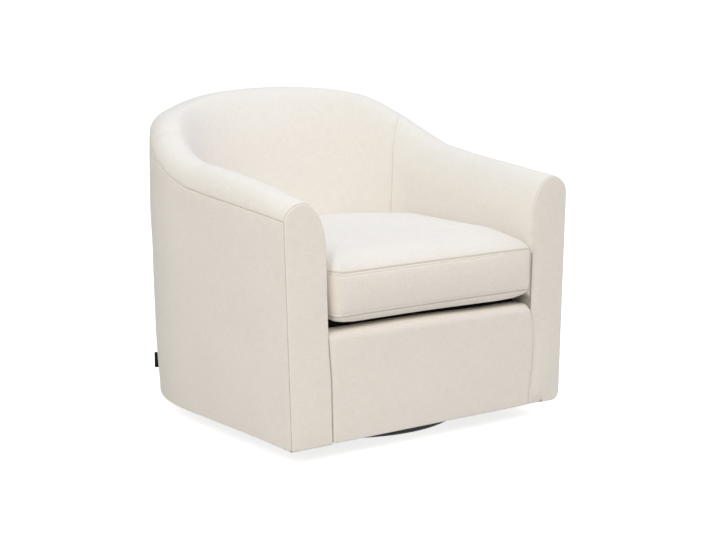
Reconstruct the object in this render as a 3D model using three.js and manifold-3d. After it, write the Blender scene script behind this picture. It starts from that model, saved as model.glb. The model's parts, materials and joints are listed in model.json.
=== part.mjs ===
// Swivel barrel chair: an upholstered barrel shell on a plywood frame, with a loose boxed seat
// cushion, turning on a ball-bearing swivel over a round plinth.
// Millimetres, +Z up. The origin is on the floor, on the swivel's axis. The chair faces -Y.
import * as THREE from "three";
import { mergeVertices } from "three/addons/utils/BufferGeometryUtils.js";
import Module from "manifold-3d";

// Barrel shell, measured from its front face and its bottom edge
const bodyWidth = 760;
const armStraight = 450;
const floorClearance = 38;
const swivelSetback = 350;
const armHeight = 535;
const armRiseShare = 0.0975;
const backHeight = 707;
const backCrownDrop = 62;
const crestFallStart = 348;
const crestFallEnd = 675;
const fullBackReach = 200;
const fullArmReach = 720;
const sideFlareShare = 0.033;
const backFlareShare = 0.018;
const armCrestInset = 31;
const backCrestInset = 82;
const armSeamDrop = 42;
const backSeamDrop = 52;
const armRollFootInset = 91.5;
const backRollFootInset = 160;
const armRollDrop = 100;
const backRollDrop = 120;
const armSeatInset = 96.7;
const backSeatInset = 250;
const insideSeamReach = 505;
const outsideSeamReach = 351;

// Clearances: seats that touch on the real chair, running fits and cuts
const seatGap = 0.3;
const runningGap = 0.3;
const cutOverrun = 2;

// Covers, padding and the liner that carries the padding
const outsideCover = 6;
const insideCover = 5;
const paddingDepth = 16;
const linerThickness = 3;
const linerGap = 0.9;
const coverReturn = 34;
const frontPanelDepth = 14;
const frontPanelRound = 6;
const railTop = 244;
const railRound = 16;
const railReturn = 56;
const railCover = 6;
const railSideBow = 6;
const dustCoverThickness = 1.5;

// Plywood frame
const plywood = 18;
const bottomFrameWidth = 68;
const seatFrameTop = 228;
const seatFrameWidth = 60;
const topRailInside = 4;
const topRailWidth = 22;
const topRailHeight = 45;
const topRailDrop = 35;
const crossRailWidth = 70;
const dustCoverGap = 3;
const ribFootWidth = 60;
const ribSetback = 1;
const ribHoleRadius = 15;

// Seat springs and deck
const springWire = 4;
const springAmplitude = 22;
const springPitch = 66;
const springSpacing = 92;
const springSeat = 12;
const deckTop = 258;

// Seat cushion
const cushionGap = 3;
const cushionFront = 4;
const cushionCorner = 14;
const bottomSeamHeight = 284;
const topSeamHeight = 378;
const cushionCrown = 33;
const cushionEdgeDrawIn = 5;
const cushionBoxingBulge = 2;
const seamGroove = 1.5;

// Plinth and floor glides
const plinthRadius = 280;
const plinthThickness = 18;
const plinthEdge = 4;
const glideRadius = 16;
const glideHeight = 4;
const glideCircle = 240;
const glideNailRadius = 1.6;
const glideNailLength = 12;
const glideFootShare = 0.8;

// Ball-bearing swivel
const plateWidth = 260;
const plateCorner = 30;
const plateThickness = 3;
const raceRadius = 92;
const raceWidth = 24;
const ballRadius = 5;
const raceLip = 1;
const raceSeat = 1.7;
const cageWidth = 18;
const boltSpacing = 190;
const boltRadius = 3.5;
const boltHeadRadius = 7;
const boltHeadHeight = 4;
const boltLength = 15;
const pivotRadius = 10;
const pivotHeadRadius = 16;
const pivotHeadHeight = 4;

// Blank fabric tab in the rear left seam
const tabHeight = 36;
const tabReach = 10;
const tabThickness = 1.4;
const tabBottom = 80;

// Counts and unit shares
const glideCount = 6;
const ballCount = 8;
const springCount = 5;
const frontSpans = 6;
const seamSpans = 2;
const sideSpans = 3;
const backSpans = 7;
const rollOuterSpans = 4;
const rollInnerSpans = 5;
const wallSpans = 3;
const cornerSpans = 3;
const grooveSpans = 8;
const plinthSides = 72;
const raceSides = 48;
const pinSides = 24;
const smallSides = 12;
const wireSides = 6;
const wireStepsPerLoop = 6;
const crestPlanPower = 1.9;
const insidePlanPower = 2.2;
const straightShare = 1e-4;
const sharpestMitreShare = 0.6;

const wasm = await Module();
wasm.setup();

// Materials

function finish(color, roughness, metalness = 0) {
  return () => new THREE.MeshStandardMaterial({ color, roughness, metalness });
}

const linen = finish(0xe9e3da, 0.95);
const wadding = finish(0xf2efe6, 1);
const blackCloth = finish(0x1c1c1c, 0.95);
const blackPaint = finish(0x0d0d0d, 0.45);
const birch = finish(0xcdb48a, 0.75);
const fibreboard = finish(0x8a6a48, 0.9);
const steel = finish(0x9a9da1, 0.35, 1);
const blackSteel = finish(0x26272a, 0.5, 0.9);
const nylon = finish(0x202020, 0.6);

// Solids: joining and cutting, and closing a surface

function toSolid(geometry) {
  const bare = geometry.clone();
  bare.deleteAttribute("normal");
  bare.deleteAttribute("uv");
  const merged = mergeVertices(bare);
  return new wasm.Manifold(
    new wasm.Mesh({
      numProp: 3,
      vertProperties: merged.attributes.position.array,
      triVerts: new Uint32Array(merged.index.array),
    }),
  );
}

function toGeometry(solid) {
  const mesh = solid.getMesh();
  const geometry = new THREE.BufferGeometry();
  geometry.setAttribute("position", new THREE.BufferAttribute(mesh.vertProperties, 3));
  geometry.setIndex(new THREE.BufferAttribute(mesh.triVerts, 1));
  return geometry;
}

function cut(geometry, tools) {
  return toGeometry(tools.reduce((solid, tool) => solid.subtract(toSolid(tool)), toSolid(geometry)));
}

function join(geometry, others) {
  return toGeometry(others.reduce((solid, other) => solid.add(toSolid(other)), toSolid(geometry)));
}

// A closed surface from points and triangles, turned so that its faces point out.
function closedSurface(points, triangles) {
  const volume = triangles.reduce(
    (sum, [a, b, c]) => sum + points[a].dot(points[b].clone().cross(points[c])),
    0,
  );
  const outward = volume > 0 ? triangles : triangles.map(([a, b, c]) => [a, c, b]);
  const geometry = new THREE.BufferGeometry().setFromPoints(points);
  geometry.setIndex(outward.flat());
  geometry.computeVertexNormals();
  return geometry;
}

// The solid between two equal grids of points, such as the two faces of a bent panel.
function shellBetween(outer, inner) {
  const rows = outer.length;
  const columns = outer[0].length;
  const points = [...outer.flat(), ...inner.flat()];
  const front = (row, column) => row * columns + column;
  const back = (row, column) => front(row, column) + rows * columns;
  const triangles = [];
  const quad = (a, b, c, d) => triangles.push([a, b, c], [a, c, d]);
  for (let row = 0; row < rows - 1; row++) {
    for (let column = 0; column < columns - 1; column++) {
      const [r, c] = [row + 1, column + 1];
      quad(front(row, column), front(r, column), front(r, c), front(row, c));
      quad(back(row, column), back(row, c), back(r, c), back(r, column));
    }
    const end = columns - 1;
    quad(front(row, 0), back(row, 0), back(row + 1, 0), front(row + 1, 0));
    quad(front(row, end), front(row + 1, end), back(row + 1, end), back(row, end));
  }
  for (let column = 0; column < columns - 1; column++) {
    const end = rows - 1;
    quad(front(0, column), front(0, column + 1), back(0, column + 1), back(0, column));
    quad(front(end, column), back(end, column), back(end, column + 1), front(end, column + 1));
  }
  return closedSurface(points, triangles);
}

// The solid through a row of equal closed rings, closed by a fan at each end.
function loft(rings) {
  const count = rings[0].length;
  const points = rings.flat();
  const triangles = [];
  for (let ring = 0; ring < rings.length - 1; ring++) {
    for (let i = 0; i < count; i++) {
      const next = (i + 1) % count;
      const [a, b] = [ring * count + i, ring * count + next];
      triangles.push([a, b, b + count], [a, b + count, a + count]);
    }
  }
  const cap = (ring, flip) => {
    const centre = points.length;
    points.push(middle(rings[ring]));
    for (let i = 0; i < count; i++) {
      const [a, b] = [ring * count + i, ring * count + ((i + 1) % count)];
      triangles.push(flip ? [centre, b, a] : [centre, a, b]);
    }
  };
  cap(0, true);
  cap(rings.length - 1, false);
  return closedSurface(points, triangles);
}

function middle(points) {
  return points
    .reduce((sum, point) => sum.add(point), new THREE.Vector3())
    .divideScalar(points.length);
}

function cylinder(radius, bottom, top, sides = smallSides) {
  const geometry = new THREE.CylinderGeometry(radius, radius, top - bottom, sides);
  return geometry.rotateX(Math.PI / 2).translate(0, 0, (top + bottom) / 2);
}

function revolve(profile, sides) {
  const points = profile.map(([radius, height]) => new THREE.Vector2(radius, height));
  return new THREE.LatheGeometry(points, sides).rotateX(Math.PI / 2);
}

// A round hole with a set number of sides.
function circle(x, y, radius, sides = smallSides) {
  const curve = new THREE.EllipseCurve(x, y, radius, radius);
  return new THREE.Path(curve.getPoints(sides).slice(1));
}

function slab(shape, bottom, top) {
  const options = { depth: top - bottom, bevelEnabled: false };
  return new THREE.ExtrudeGeometry(shape, options).translate(0, 0, bottom);
}

// The barrel's form. A place on it is given by its run, the signed distance from the middle of
// the back along the bottom outline, its reach outwards from that outline, and its height.

const tuckHeight = seatFrameTop + seatGap;
const halfWidth = bodyWidth / 2;
const archLength = (halfWidth * Math.PI) / 2;
const bodyRun = archLength + armStraight;
const fullDepth = armStraight + halfWidth;

function smooth(value) {
  const t = THREE.MathUtils.clamp(value, 0, 1);
  return t * t * (3 - 2 * t);
}

function outline(run) {
  const side = run < 0 ? -1 : 1;
  const turn = Math.min(Math.abs(run), archLength) / halfWidth;
  const outward = new THREE.Vector3(side * Math.sin(turn), Math.cos(turn), 0);
  const straight = Math.max(Math.abs(run) - archLength, 0);
  const foot = outward.clone().multiplyScalar(halfWidth);
  foot.y += armStraight - straight;
  return { foot, outward };
}

function place(run, reach, height) {
  const { foot, outward } = outline(run);
  return foot.addScaledVector(outward, reach).setZ(height);
}

// 1 round the back and 0 along the arms.
function backShare(run) {
  return smooth((fullArmReach - Math.abs(run)) / (fullArmReach - fullBackReach));
}

function between(arm, back) {
  return (run) => THREE.MathUtils.lerp(arm, back, backShare(run));
}

// How far a line lies inside the bottom outline, when its plan round the back is a rounded
// oblong: an ellipse at power 2, squarer at a higher power.
function bowed(armInset, backInset, power) {
  return (run) => {
    const turn = Math.min(Math.abs(run), archLength) / halfWidth;
    const across = Math.sin(turn) / (halfWidth - armInset);
    const along = Math.cos(turn) / (halfWidth - backInset);
    return halfWidth - (across ** power + along ** power) ** (-1 / power);
  };
}

const crestInset = bowed(armCrestInset, backCrestInset, crestPlanPower);
const rollFootInset = bowed(armRollFootInset, backRollFootInset, insidePlanPower);
const seatInset = bowed(armSeatInset, backSeatInset, insidePlanPower);
const seamDrop = between(armSeamDrop, backSeamDrop);
const rollDrop = between(armRollDrop, backRollDrop);
const flareShare = between(sideFlareShare, backFlareShare);

// Height of the roll's crest: it climbs gently along the arm, then sweeps up to the back.
function crestHeight(run) {
  const distance = Math.abs(run);
  const arm = armHeight + armRiseShare * (bodyRun - distance);
  const back = backHeight - backCrownDrop * (distance / archLength) ** 2;
  const share = smooth((crestFallEnd - distance) / (crestFallEnd - crestFallStart));
  return THREE.MathUtils.lerp(arm, back, share);
}

function outsideReach(run, height) {
  return flareShare(run) * height;
}

function seamHeight(run) {
  return crestHeight(run) - seamDrop(run);
}

function rollFootHeight(run) {
  return crestHeight(run) - rollDrop(run);
}

// How much the inside wall gains inwards for each unit that it goes down.
function leanShare(run) {
  return (seatInset(run) - rollFootInset(run)) / (rollFootHeight(run) - tuckHeight);
}

function insideReach(run, height) {
  return -rollFootInset(run) - leanShare(run) * (rollFootHeight(run) - height);
}

// A layer of the roll, from the outer seam over the crest and down the inside wall to a foot
// height, as points of reach (x) and height (y). The layer lies at a depth below the surface.
function rollProfile(run, footHeight, depth = 0) {
  const inset = crestInset(run);
  const fall = leanShare(run);
  const level = depth * Math.hypot(1, fall);
  const outerWidth = outsideReach(run, seamHeight(run)) + inset - depth;
  const innerWidth = rollFootInset(run) - inset - fall * rollDrop(run) - level;
  const points = [];
  for (let i = 0; i <= rollOuterSpans; i++) {
    const angle = (i / rollOuterSpans) * (Math.PI / 2);
    const rise = (seamDrop(run) - depth) * Math.sin(angle);
    points.push(new THREE.Vector2(outerWidth * Math.cos(angle) - inset, seamHeight(run) + rise));
  }
  for (let i = 1; i <= rollInnerSpans; i++) {
    const angle = (i / rollInnerSpans) * (Math.PI / 2);
    const drop = (rollDrop(run) - depth) * (1 - Math.cos(angle)) + depth;
    const reach = -inset - innerWidth * Math.sin(angle) - fall * (drop - depth * Math.cos(angle));
    points.push(new THREE.Vector2(reach, crestHeight(run) - drop));
  }
  for (let i = 1; i <= wallSpans; i++) {
    const height = THREE.MathUtils.lerp(rollFootHeight(run), footHeight, i / wallSpans);
    points.push(new THREE.Vector2(insideReach(run, height) + level, height));
  }
  return points;
}

// The outside wall from its return under the bottom edge up to the outer seam.
function outsideProfile(run, depth = 0) {
  const top = seamHeight(run) - seatGap;
  const points = [new THREE.Vector2(-coverReturn, 0), new THREE.Vector2(0, 0)];
  for (let i = 1; i <= wallSpans; i++) {
    const height = (i / wallSpans) * top;
    points.push(new THREE.Vector2(outsideReach(run, height), height));
  }
  return sunk(points, depth);
}

// A profile moved sideways into the material: corners keep their mitre, ends are cut square.
function sunk(profile, depth) {
  const last = profile.length - 1;
  return profile.map((point, i) => {
    const before = profile[Math.max(i - 1, 0)];
    const after = profile[Math.min(i + 1, last)];
    if (i === 0 || i === last) return point.clone().sub(squareStep(before, after, depth));
    const first = edgeNormal(before, point);
    const mitre = first.clone().add(edgeNormal(point, after)).normalize();
    return point.clone().addScaledVector(mitre, -depth / mitre.dot(first));
  });
}

// The step along the nearer axis that lies a depth away from a line.
function squareStep(from, to, depth) {
  const normal = edgeNormal(from, to);
  return Math.abs(normal.x) > Math.abs(normal.y)
    ? new THREE.Vector2(depth / normal.x, 0)
    : new THREE.Vector2(0, depth / normal.y);
}

function edgeNormal(from, to) {
  return new THREE.Vector2(to.y - from.y, from.x - to.x).normalize();
}

// The runs at which the barrel's panels bend, shared by every layer so that they nest.
const frontRun = bodyRun - frontPanelDepth - seatGap;

function spread(from, to, spans) {
  return Array.from({ length: spans }, (_, i) => from + ((to - from) * (i + 1)) / spans);
}

const rightRuns = [
  0,
  ...spread(0, outsideSeamReach, backSpans),
  ...spread(outsideSeamReach, insideSeamReach, sideSpans),
  ...spread(insideSeamReach, archLength, seamSpans),
  ...spread(archLength, frontRun, frontSpans),
];
const allRuns = [...rightRuns.slice(1).map((run) => -run).reverse(), ...rightRuns];

function runsBetween(from, to) {
  const inside = allRuns.filter((run) => run > from + seatGap && run < to - seatGap);
  return [from, ...inside, to];
}

// A bent panel that follows the barrel between two runs, at a depth below the outer surface.
function bentPanel(runs, profileAt, depth, thickness) {
  const grid = (sinking) =>
    runs.map((run) => profileAt(run, sinking).map((p) => place(run, p.x, p.y)));
  return shellBetween(grid(depth), grid(depth + thickness));
}

// A line at one height round the barrel, closed straight across the front.
function roundOutline(reachAt, frontY) {
  const runs = allRuns.filter((run) => outline(run).foot.y > frontY + seatGap);
  const points = runs.map((run) => place(run, reachAt(run), 0));
  const last = points[points.length - 1];
  const first = points[0];
  return [
    new THREE.Vector2(first.x, frontY),
    ...points.map((p) => new THREE.Vector2(p.x, p.y)),
    new THREE.Vector2(last.x, frontY),
  ];
}

// A loop without the points that lie on a straight stretch, which would split a flat face.
function corners(points) {
  const count = points.length;
  return points.filter((point, i) => {
    const before = edgeNormal(points[(i + count - 1) % count], point);
    const after = edgeNormal(point, points[(i + 1) % count]);
    return Math.abs(before.cross(after)) > straightShare;
  });
}

function flatShape(outerPoints, innerPoints) {
  const shape = new THREE.Shape(corners(outerPoints));
  if (innerPoints) shape.holes.push(new THREE.Path(corners(innerPoints).reverse()));
  return shape;
}

// The chair's scene graph

const chair = new THREE.Group();
const body = new THREE.Group();
body.position.set(0, -swivelSetback, floorClearance);
chair.add(body);

function add(group, name, geometry, material) {
  const mesh = new THREE.Mesh(geometry, material());
  mesh.name = name;
  group.add(mesh);
  return mesh;
}

const sides = [
  ["left", -1],
  ["right", 1],
];

// Covers

const seamHalf = seatGap / 2;
const rollAt = (run, depth) => rollProfile(run, tuckHeight, depth);

function addBarrelCovers() {
  const insideBack = runsBetween(-insideSeamReach + seamHalf, insideSeamReach - seamHalf);
  add(body, "inside_back_cover", bentPanel(insideBack, rollAt, 0, insideCover), linen);
  const outsideBack = runsBetween(-outsideSeamReach + seamHalf, outsideSeamReach - seamHalf);
  add(body, "outside_back_cover", bentPanel(outsideBack, outsideProfile, 0, outsideCover), linen);
  for (const [side, sign] of sides) {
    const mirrored = (runs) => (sign < 0 ? runs.map((run) => -run).reverse() : runs);
    const insideArm = mirrored(runsBetween(insideSeamReach + seamHalf, frontRun));
    add(body, `inside_arm_cover_${side}`, bentPanel(insideArm, rollAt, 0, insideCover), linen);
    const outsideArm = mirrored(runsBetween(outsideSeamReach + seamHalf, frontRun));
    const panel = bentPanel(outsideArm, outsideProfile, 0, outsideCover);
    add(body, `outside_arm_cover_${side}`, panel, linen);
  }
}

// The front rail fits between the inside arm covers. The seam between it and an arm's front
// bows outwards a little.
const railHalfWidth = halfWidth + insideReach(frontRun, tuckHeight) - 2 * seatGap;
const railFrontHeights = spread(0, railTop - railRound, wallSpans);

function railSide(height) {
  return railHalfWidth + railSideBow * Math.sin((Math.PI * height) / railTop);
}

// The arched outline of an arm's front, outside edge first, for the right arm.
function armFrontOutline() {
  const toFront = (reach, height) => new THREE.Vector2(halfWidth + reach, height);
  const points = outsideProfile(frontRun)
    .slice(1)
    .map((p) => toFront(p.x, p.y));
  for (const p of rollProfile(frontRun, railTop)) points.push(toFront(p.x, p.y));
  for (const height of [...railFrontHeights.toReversed(), 0]) {
    points.push(new THREE.Vector2(railSide(height), height));
  }
  return points;
}

function insetLoop(points, distance) {
  const count = points.length;
  return points.map((point, i) => {
    const before = edgeNormal(points[(i + count - 1) % count], point);
    const after = edgeNormal(point, points[(i + 1) % count]);
    const mitre = before.clone().add(after).normalize();
    const share = Math.max(mitre.dot(before), sharpestMitreShare);
    return point.clone().addScaledVector(mitre, -distance / share);
  });
}

// Shares of the rounding: how far in and how far forward each ring of the front panel lies.
const frontRoundShares = [
  [0, 0],
  [0, 0.45],
  [0.35, 0.8],
  [1, 1],
];

function addArmFronts() {
  const edge = armFrontOutline();
  for (const [side, sign] of sides) {
    const rings = frontRoundShares.map(([inShare, forwardShare]) => {
      const y = frontPanelDepth * (1 - forwardShare);
      return insetLoop(edge, frontPanelRound * inShare).map(
        (p) => new THREE.Vector3(sign * p.x, y, p.y),
      );
    });
    add(body, `arm_front_cover_${side}`, loft(rings), linen);
  }
}

// The front rail's cover: up the front, over the soft top edge and back to the deck. Its
// profile is drawn with x forwards.
function addRailCover() {
  const profile = [
    new THREE.Vector2(-coverReturn, 0),
    new THREE.Vector2(0, 0),
    ...railFrontHeights.map((height) => new THREE.Vector2(0, height)),
  ];
  for (let i = 1; i <= rollOuterSpans; i++) {
    const angle = (i / rollOuterSpans) * (Math.PI / 2);
    const back = railRound * (1 - Math.cos(angle));
    profile.push(new THREE.Vector2(-back, railTop - railRound * (1 - Math.sin(angle))));
  }
  profile.push(new THREE.Vector2(-railReturn, railTop));
  const inside = sunk(profile, railCover);
  const acrossShares = [-1, -0.5, 0, 0.5, 1];
  const grid = (points) =>
    acrossShares.map((share) =>
      points.map((p) => new THREE.Vector3(share * (railSide(p.y) - seatGap), -p.x, p.y)),
    );
  add(body, "front_rail_cover", shellBetween(grid(profile), grid(inside)), linen);
}

// Padding, and the stiff liner that carries it, from one arm board round to the other.

const boardFront = frontPanelDepth + seatGap;
const boardBack = boardFront + plywood + seatGap;
const linerBack = insideCover + seatGap + paddingDepth + linerGap + linerThickness;
const paddedRuns = runsBetween(boardBack - bodyRun, bodyRun - boardBack);

function addPadding() {
  const padding = bentPanel(paddedRuns, rollAt, insideCover + seatGap, paddingDepth);
  add(body, "barrel_padding", padding, wadding);
  const wallOnly = (run, depth) => rollAt(run, depth).slice(-(wallSpans + 1));
  const liner = bentPanel(paddedRuns, wallOnly, linerBack - linerThickness, linerThickness);
  add(body, "inside_liner", liner, fibreboard);
}

// Frame

const bottomFrameBottom = outsideCover + seatGap;
const bottomFrameTop = bottomFrameBottom + plywood;
const frameInset = outsideCover + 2 * seatGap;
const railBoardFront = railCover + seatGap;

// How far out the back of the liner lies, measured level through its slope.
function linerReach(run, height) {
  return insideReach(run, height) + linerBack * Math.hypot(1, leanShare(run));
}

function addBottomFrame() {
  const frontY = boardFront;
  const outer = roundOutline(() => -frameInset, frontY);
  const inner = roundOutline(() => -frameInset - bottomFrameWidth, frontY + bottomFrameWidth);
  const shape = flatShape(outer, inner);
  add(body, "bottom_frame", slab(shape, bottomFrameBottom, bottomFrameTop), birch);
}

function addSeatFrame() {
  const frontY = railBoardFront + plywood + seatGap;
  const outer = roundOutline((run) => linerReach(run, seatFrameTop) - seatGap, boardBack);
  const hollow = (run) => insideReach(run, seatFrameTop) - seatFrameWidth;
  const inner = roundOutline(hollow, frontY + seatFrameWidth);
  const tongue = [
    new THREE.Vector2(-railHalfWidth, frontY),
    new THREE.Vector2(-railHalfWidth, boardBack),
    ...outer,
    new THREE.Vector2(railHalfWidth, boardBack),
    new THREE.Vector2(railHalfWidth, frontY),
  ];
  const shape = flatShape(tongue, inner);
  add(body, "seat_frame", slab(shape, seatFrameTop - plywood, seatFrameTop), birch);
}

function addFrontBoards() {
  const outer = insetLoop(armFrontOutline(), frameInset);
  const floor = bottomFrameTop + seatGap;
  const board = outer.map((p) => new THREE.Vector2(p.x, Math.max(p.y, floor)));
  for (const [side, sign] of sides) {
    const rings = [boardFront, boardFront + plywood].map((y) =>
      board.map((p) => new THREE.Vector3(sign * p.x, y, p.y)),
    );
    add(body, `arm_front_board_${side}`, loft(rings), birch);
  }
  const front = new THREE.Shape([
    new THREE.Vector2(-railHalfWidth, floor),
    new THREE.Vector2(railHalfWidth, floor),
    new THREE.Vector2(railHalfWidth, seatFrameTop),
    new THREE.Vector2(-railHalfWidth, seatFrameTop),
  ]);
  const geometry = slab(front, 0, plywood).rotateX(Math.PI / 2);
  geometry.translate(0, railBoardFront + plywood, 0);
  add(body, "front_rail_board", geometry, birch);
}

const topRailBottom = (run) => crestHeight(run) - topRailDrop - topRailHeight;

// The top rail is bent in plan and in height at once, following the crest from arm to arm.
function addTopRail() {
  const rings = paddedRuns.map((run) => {
    const inner = -crestInset(run) - topRailInside;
    const outer = inner + topRailWidth;
    const [bottom, top] = [topRailBottom(run), topRailBottom(run) + topRailHeight];
    return [
      place(run, inner, bottom),
      place(run, outer, bottom),
      place(run, outer, top),
      place(run, inner, top),
    ];
  });
  add(body, "top_rail", loft(rings), birch);
}

// A rib is a plywood board cut to the barrel's section, standing on the bottom frame. It keeps
// clear of the liner and the top rail over its whole thickness.
function ribGeometry(run) {
  const nearby = [run - plywood, run, run + plywood];
  const top = Math.min(...nearby.map(topRailBottom)) - seatGap;
  const foot = bottomFrameTop + seatGap;
  const face = (height) => Math.max(...nearby.map((r) => linerReach(r, height))) + seatGap;
  const outerInset = frameInset + ribSetback;
  const underSeat = seatFrameTop - plywood;
  const shape = flatShape([
    new THREE.Vector2(outsideReach(run, foot) - outerInset, foot),
    new THREE.Vector2(outsideReach(run, top) - outerInset, top),
    new THREE.Vector2(-crestInset(run), top),
    new THREE.Vector2(face(rollFootHeight(run)), rollFootHeight(run)),
    new THREE.Vector2(face(tuckHeight), tuckHeight),
    new THREE.Vector2(face(tuckHeight), underSeat),
    new THREE.Vector2(-frameInset - ribFootWidth, foot),
  ]);
  const holeReach = -frameInset - ribFootWidth / 2;
  shape.holes.push(circle(holeReach, (foot + underSeat) / 2, ribHoleRadius));
  return slab(shape, -plywood / 2, plywood / 2);
}

function addRibs() {
  const ribRuns = { back: rightRuns[3], side: insideSeamReach };
  for (const [side, sign] of sides) {
    for (const [name, run] of Object.entries(ribRuns)) {
      const mesh = add(body, `${name}_rib_${side}`, ribGeometry(run), birch);
      const { foot, outward } = outline(sign * run);
      const up = new THREE.Vector3(0, 0, 1);
      const along = outward.clone().cross(up);
      mesh.applyMatrix4(new THREE.Matrix4().makeBasis(outward, up, along).setPosition(foot));
    }
  }
}

// Seat springs: sinuous wires from the front of the seat frame to its rear, and the deck pad.

function insideDepthAt(x, height) {
  const points = roundOutline((run) => insideReach(run, height), 0);
  const after = points.findIndex((p, i) => i > 0 && points[i - 1].x <= x && p.x > x);
  const [a, b] = [points[after - 1], points[after]];
  return THREE.MathUtils.mapLinear(x, a.x, b.x, a.y, b.y);
}

function springGeometry(x) {
  const height = seatFrameTop + seatGap + springWire / 2;
  const start = railBoardFront + plywood + springSeat;
  const end = insideDepthAt(x, seatFrameTop) - seatFrameWidth + springSeat;
  const loops = Math.floor((end - start) / springPitch);
  const steps = loops * wireStepsPerLoop;
  const points = Array.from({ length: steps + 1 }, (_, i) => {
    const share = i / steps;
    const sway = springAmplitude * Math.sin(share * loops * 2 * Math.PI);
    return new THREE.Vector3(x + sway, start + share * (end - start), height);
  });
  const section = new THREE.Shape(circle(0, 0, springWire / 2, wireSides).getPoints());
  const options = { steps, bevelEnabled: false, extrudePath: new THREE.CatmullRomCurve3(points) };
  return new THREE.ExtrudeGeometry(section, options);
}

function addSeatDeck() {
  for (let i = 0; i < springCount; i++) {
    const x = (i - (springCount - 1) / 2) * springSpacing;
    add(body, `seat_spring_${i + 1}`, springGeometry(x), blackSteel);
  }
  const bottom = seatFrameTop + springWire + 2 * seatGap;
  const edge = roundOutline((run) => insideReach(run, bottom) - seatGap, railReturn + seatGap);
  add(body, "deck_pad", slab(flatShape(edge), bottom, deckTop), blackCloth);
}

// Swivel and plinth, from the floor up

const plinthBottom = glideHeight + seatGap;
const plinthTop = plinthBottom + plinthThickness;
const lowerPlateBottom = plinthTop + seatGap;
const raceSag = raceRadius * (1 - Math.cos(Math.PI / raceSides));
const grooveRadius = ballRadius + runningGap + raceSag;
const ballHeight = lowerPlateBottom + plateThickness + raceSeat + grooveRadius;
const upperPlateTop = 2 * ballHeight - lowerPlateBottom;
const boltPlaces = [
  [-1, -1],
  [1, -1],
  [1, 1],
  [-1, 1],
].map(([x, y]) => [(x * boltSpacing) / 2, (y * boltSpacing) / 2]);

function roundedSquare(width, corner) {
  const straight = width / 2 - corner;
  const centres = [
    [1, 1],
    [-1, 1],
    [-1, -1],
    [1, -1],
  ];
  return centres.flatMap(([x, y], i) => {
    const start = (i * Math.PI) / 2;
    const end = start + Math.PI / 2;
    const [atX, atY] = [x * straight, y * straight];
    return new THREE.EllipseCurve(atX, atY, corner, corner, start, end).getPoints(cornerSpans);
  });
}

// One swivel plate as the lower one lies: a steel square with a raised, grooved ball race.
function swivelPlate(pivotHole) {
  const shape = new THREE.Shape(roundedSquare(plateWidth, plateCorner));
  for (const [x, y] of boltPlaces) shape.holes.push(circle(x, y, boltRadius + runningGap));
  shape.holes.push(circle(0, 0, pivotHole, pinSides));
  const plate = slab(shape, 0, plateThickness);
  const raceTop = plateThickness + raceSeat + grooveRadius - raceLip;
  const centre = plateThickness + raceSeat + grooveRadius;
  const edgeAngle = Math.asin(raceLip / grooveRadius);
  const inner = raceRadius - raceWidth / 2;
  const outer = raceRadius + raceWidth / 2;
  const profile = [
    [inner, plateThickness / 2],
    [outer, plateThickness / 2],
    [outer, raceTop],
  ];
  for (let i = 0; i <= grooveSpans; i++) {
    const angle = -edgeAngle - (i / grooveSpans) * (Math.PI - 2 * edgeAngle);
    profile.push([
      raceRadius + grooveRadius * Math.cos(angle),
      centre + grooveRadius * Math.sin(angle),
    ]);
  }
  profile.push([inner, raceTop], profile[0]);
  return join(plate, [revolve(profile, raceSides)]);
}

function addSwivel() {
  const lower = swivelPlate(pivotRadius + seatGap).translate(0, 0, lowerPlateBottom);
  add(chair, "swivel_lower_plate", lower, blackSteel);
  const upper = swivelPlate(pivotRadius + runningGap).rotateX(Math.PI);
  add(chair, "swivel_upper_plate", upper.translate(0, 0, upperPlateTop), blackSteel);
  const pin = revolve(
    [
      [0, lowerPlateBottom],
      [pivotRadius, lowerPlateBottom],
      [pivotRadius, upperPlateTop + runningGap],
      [pivotHeadRadius, upperPlateTop + runningGap],
      [pivotHeadRadius, upperPlateTop + runningGap + pivotHeadHeight],
      [0, upperPlateTop + runningGap + pivotHeadHeight],
    ],
    pinSides,
  );
  add(chair, "swivel_pivot", pin, steel);
}

// The balls sit in the pockets of a flat cage, which fills the space between the two race lips
// but for a running gap above and below.
function addBallRing() {
  const half = raceLip - runningGap;
  const rim = circle(0, 0, raceRadius + cageWidth / 2, raceSides).getPoints();
  const shape = new THREE.Shape(rim);
  shape.holes.push(circle(0, 0, raceRadius - cageWidth / 2, raceSides));
  for (let i = 0; i < ballCount; i++) {
    const angle = (i / ballCount) * 2 * Math.PI;
    const [x, y] = [raceRadius * Math.cos(angle), raceRadius * Math.sin(angle)];
    shape.holes.push(circle(x, y, ballRadius + runningGap));
    const ball = new THREE.SphereGeometry(ballRadius, smallSides, smallSides / 2);
    ball.rotateX(Math.PI / 2).translate(x, y, ballHeight);
    add(chair, `bearing_ball_${i + 1}`, ball, steel);
  }
  add(chair, "ball_cage", slab(shape, ballHeight - half, ballHeight + half), nylon);
}

function boltGeometry(headBottom, headTop, shankEnd) {
  const head = cylinder(boltHeadRadius, headBottom, headTop);
  const shank = cylinder(boltRadius, Math.min(shankEnd, headBottom), Math.max(shankEnd, headTop));
  return join(head, [shank]);
}

function addFasteners() {
  boltPlaces.forEach(([x, y], i) => {
    const lowerHead = lowerPlateBottom + plateThickness + seatGap;
    const screw = boltGeometry(lowerHead, lowerHead + boltHeadHeight, lowerHead - boltLength);
    add(chair, `plinth_screw_${i + 1}`, screw.translate(x, y, 0), steel);
    const upperHead = upperPlateTop - plateThickness - seatGap;
    const bolt = boltGeometry(upperHead - boltHeadHeight, upperHead, upperHead + boltLength);
    add(chair, `rail_bolt_${i + 1}`, bolt.translate(x, y, 0), steel);
  });
}

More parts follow.
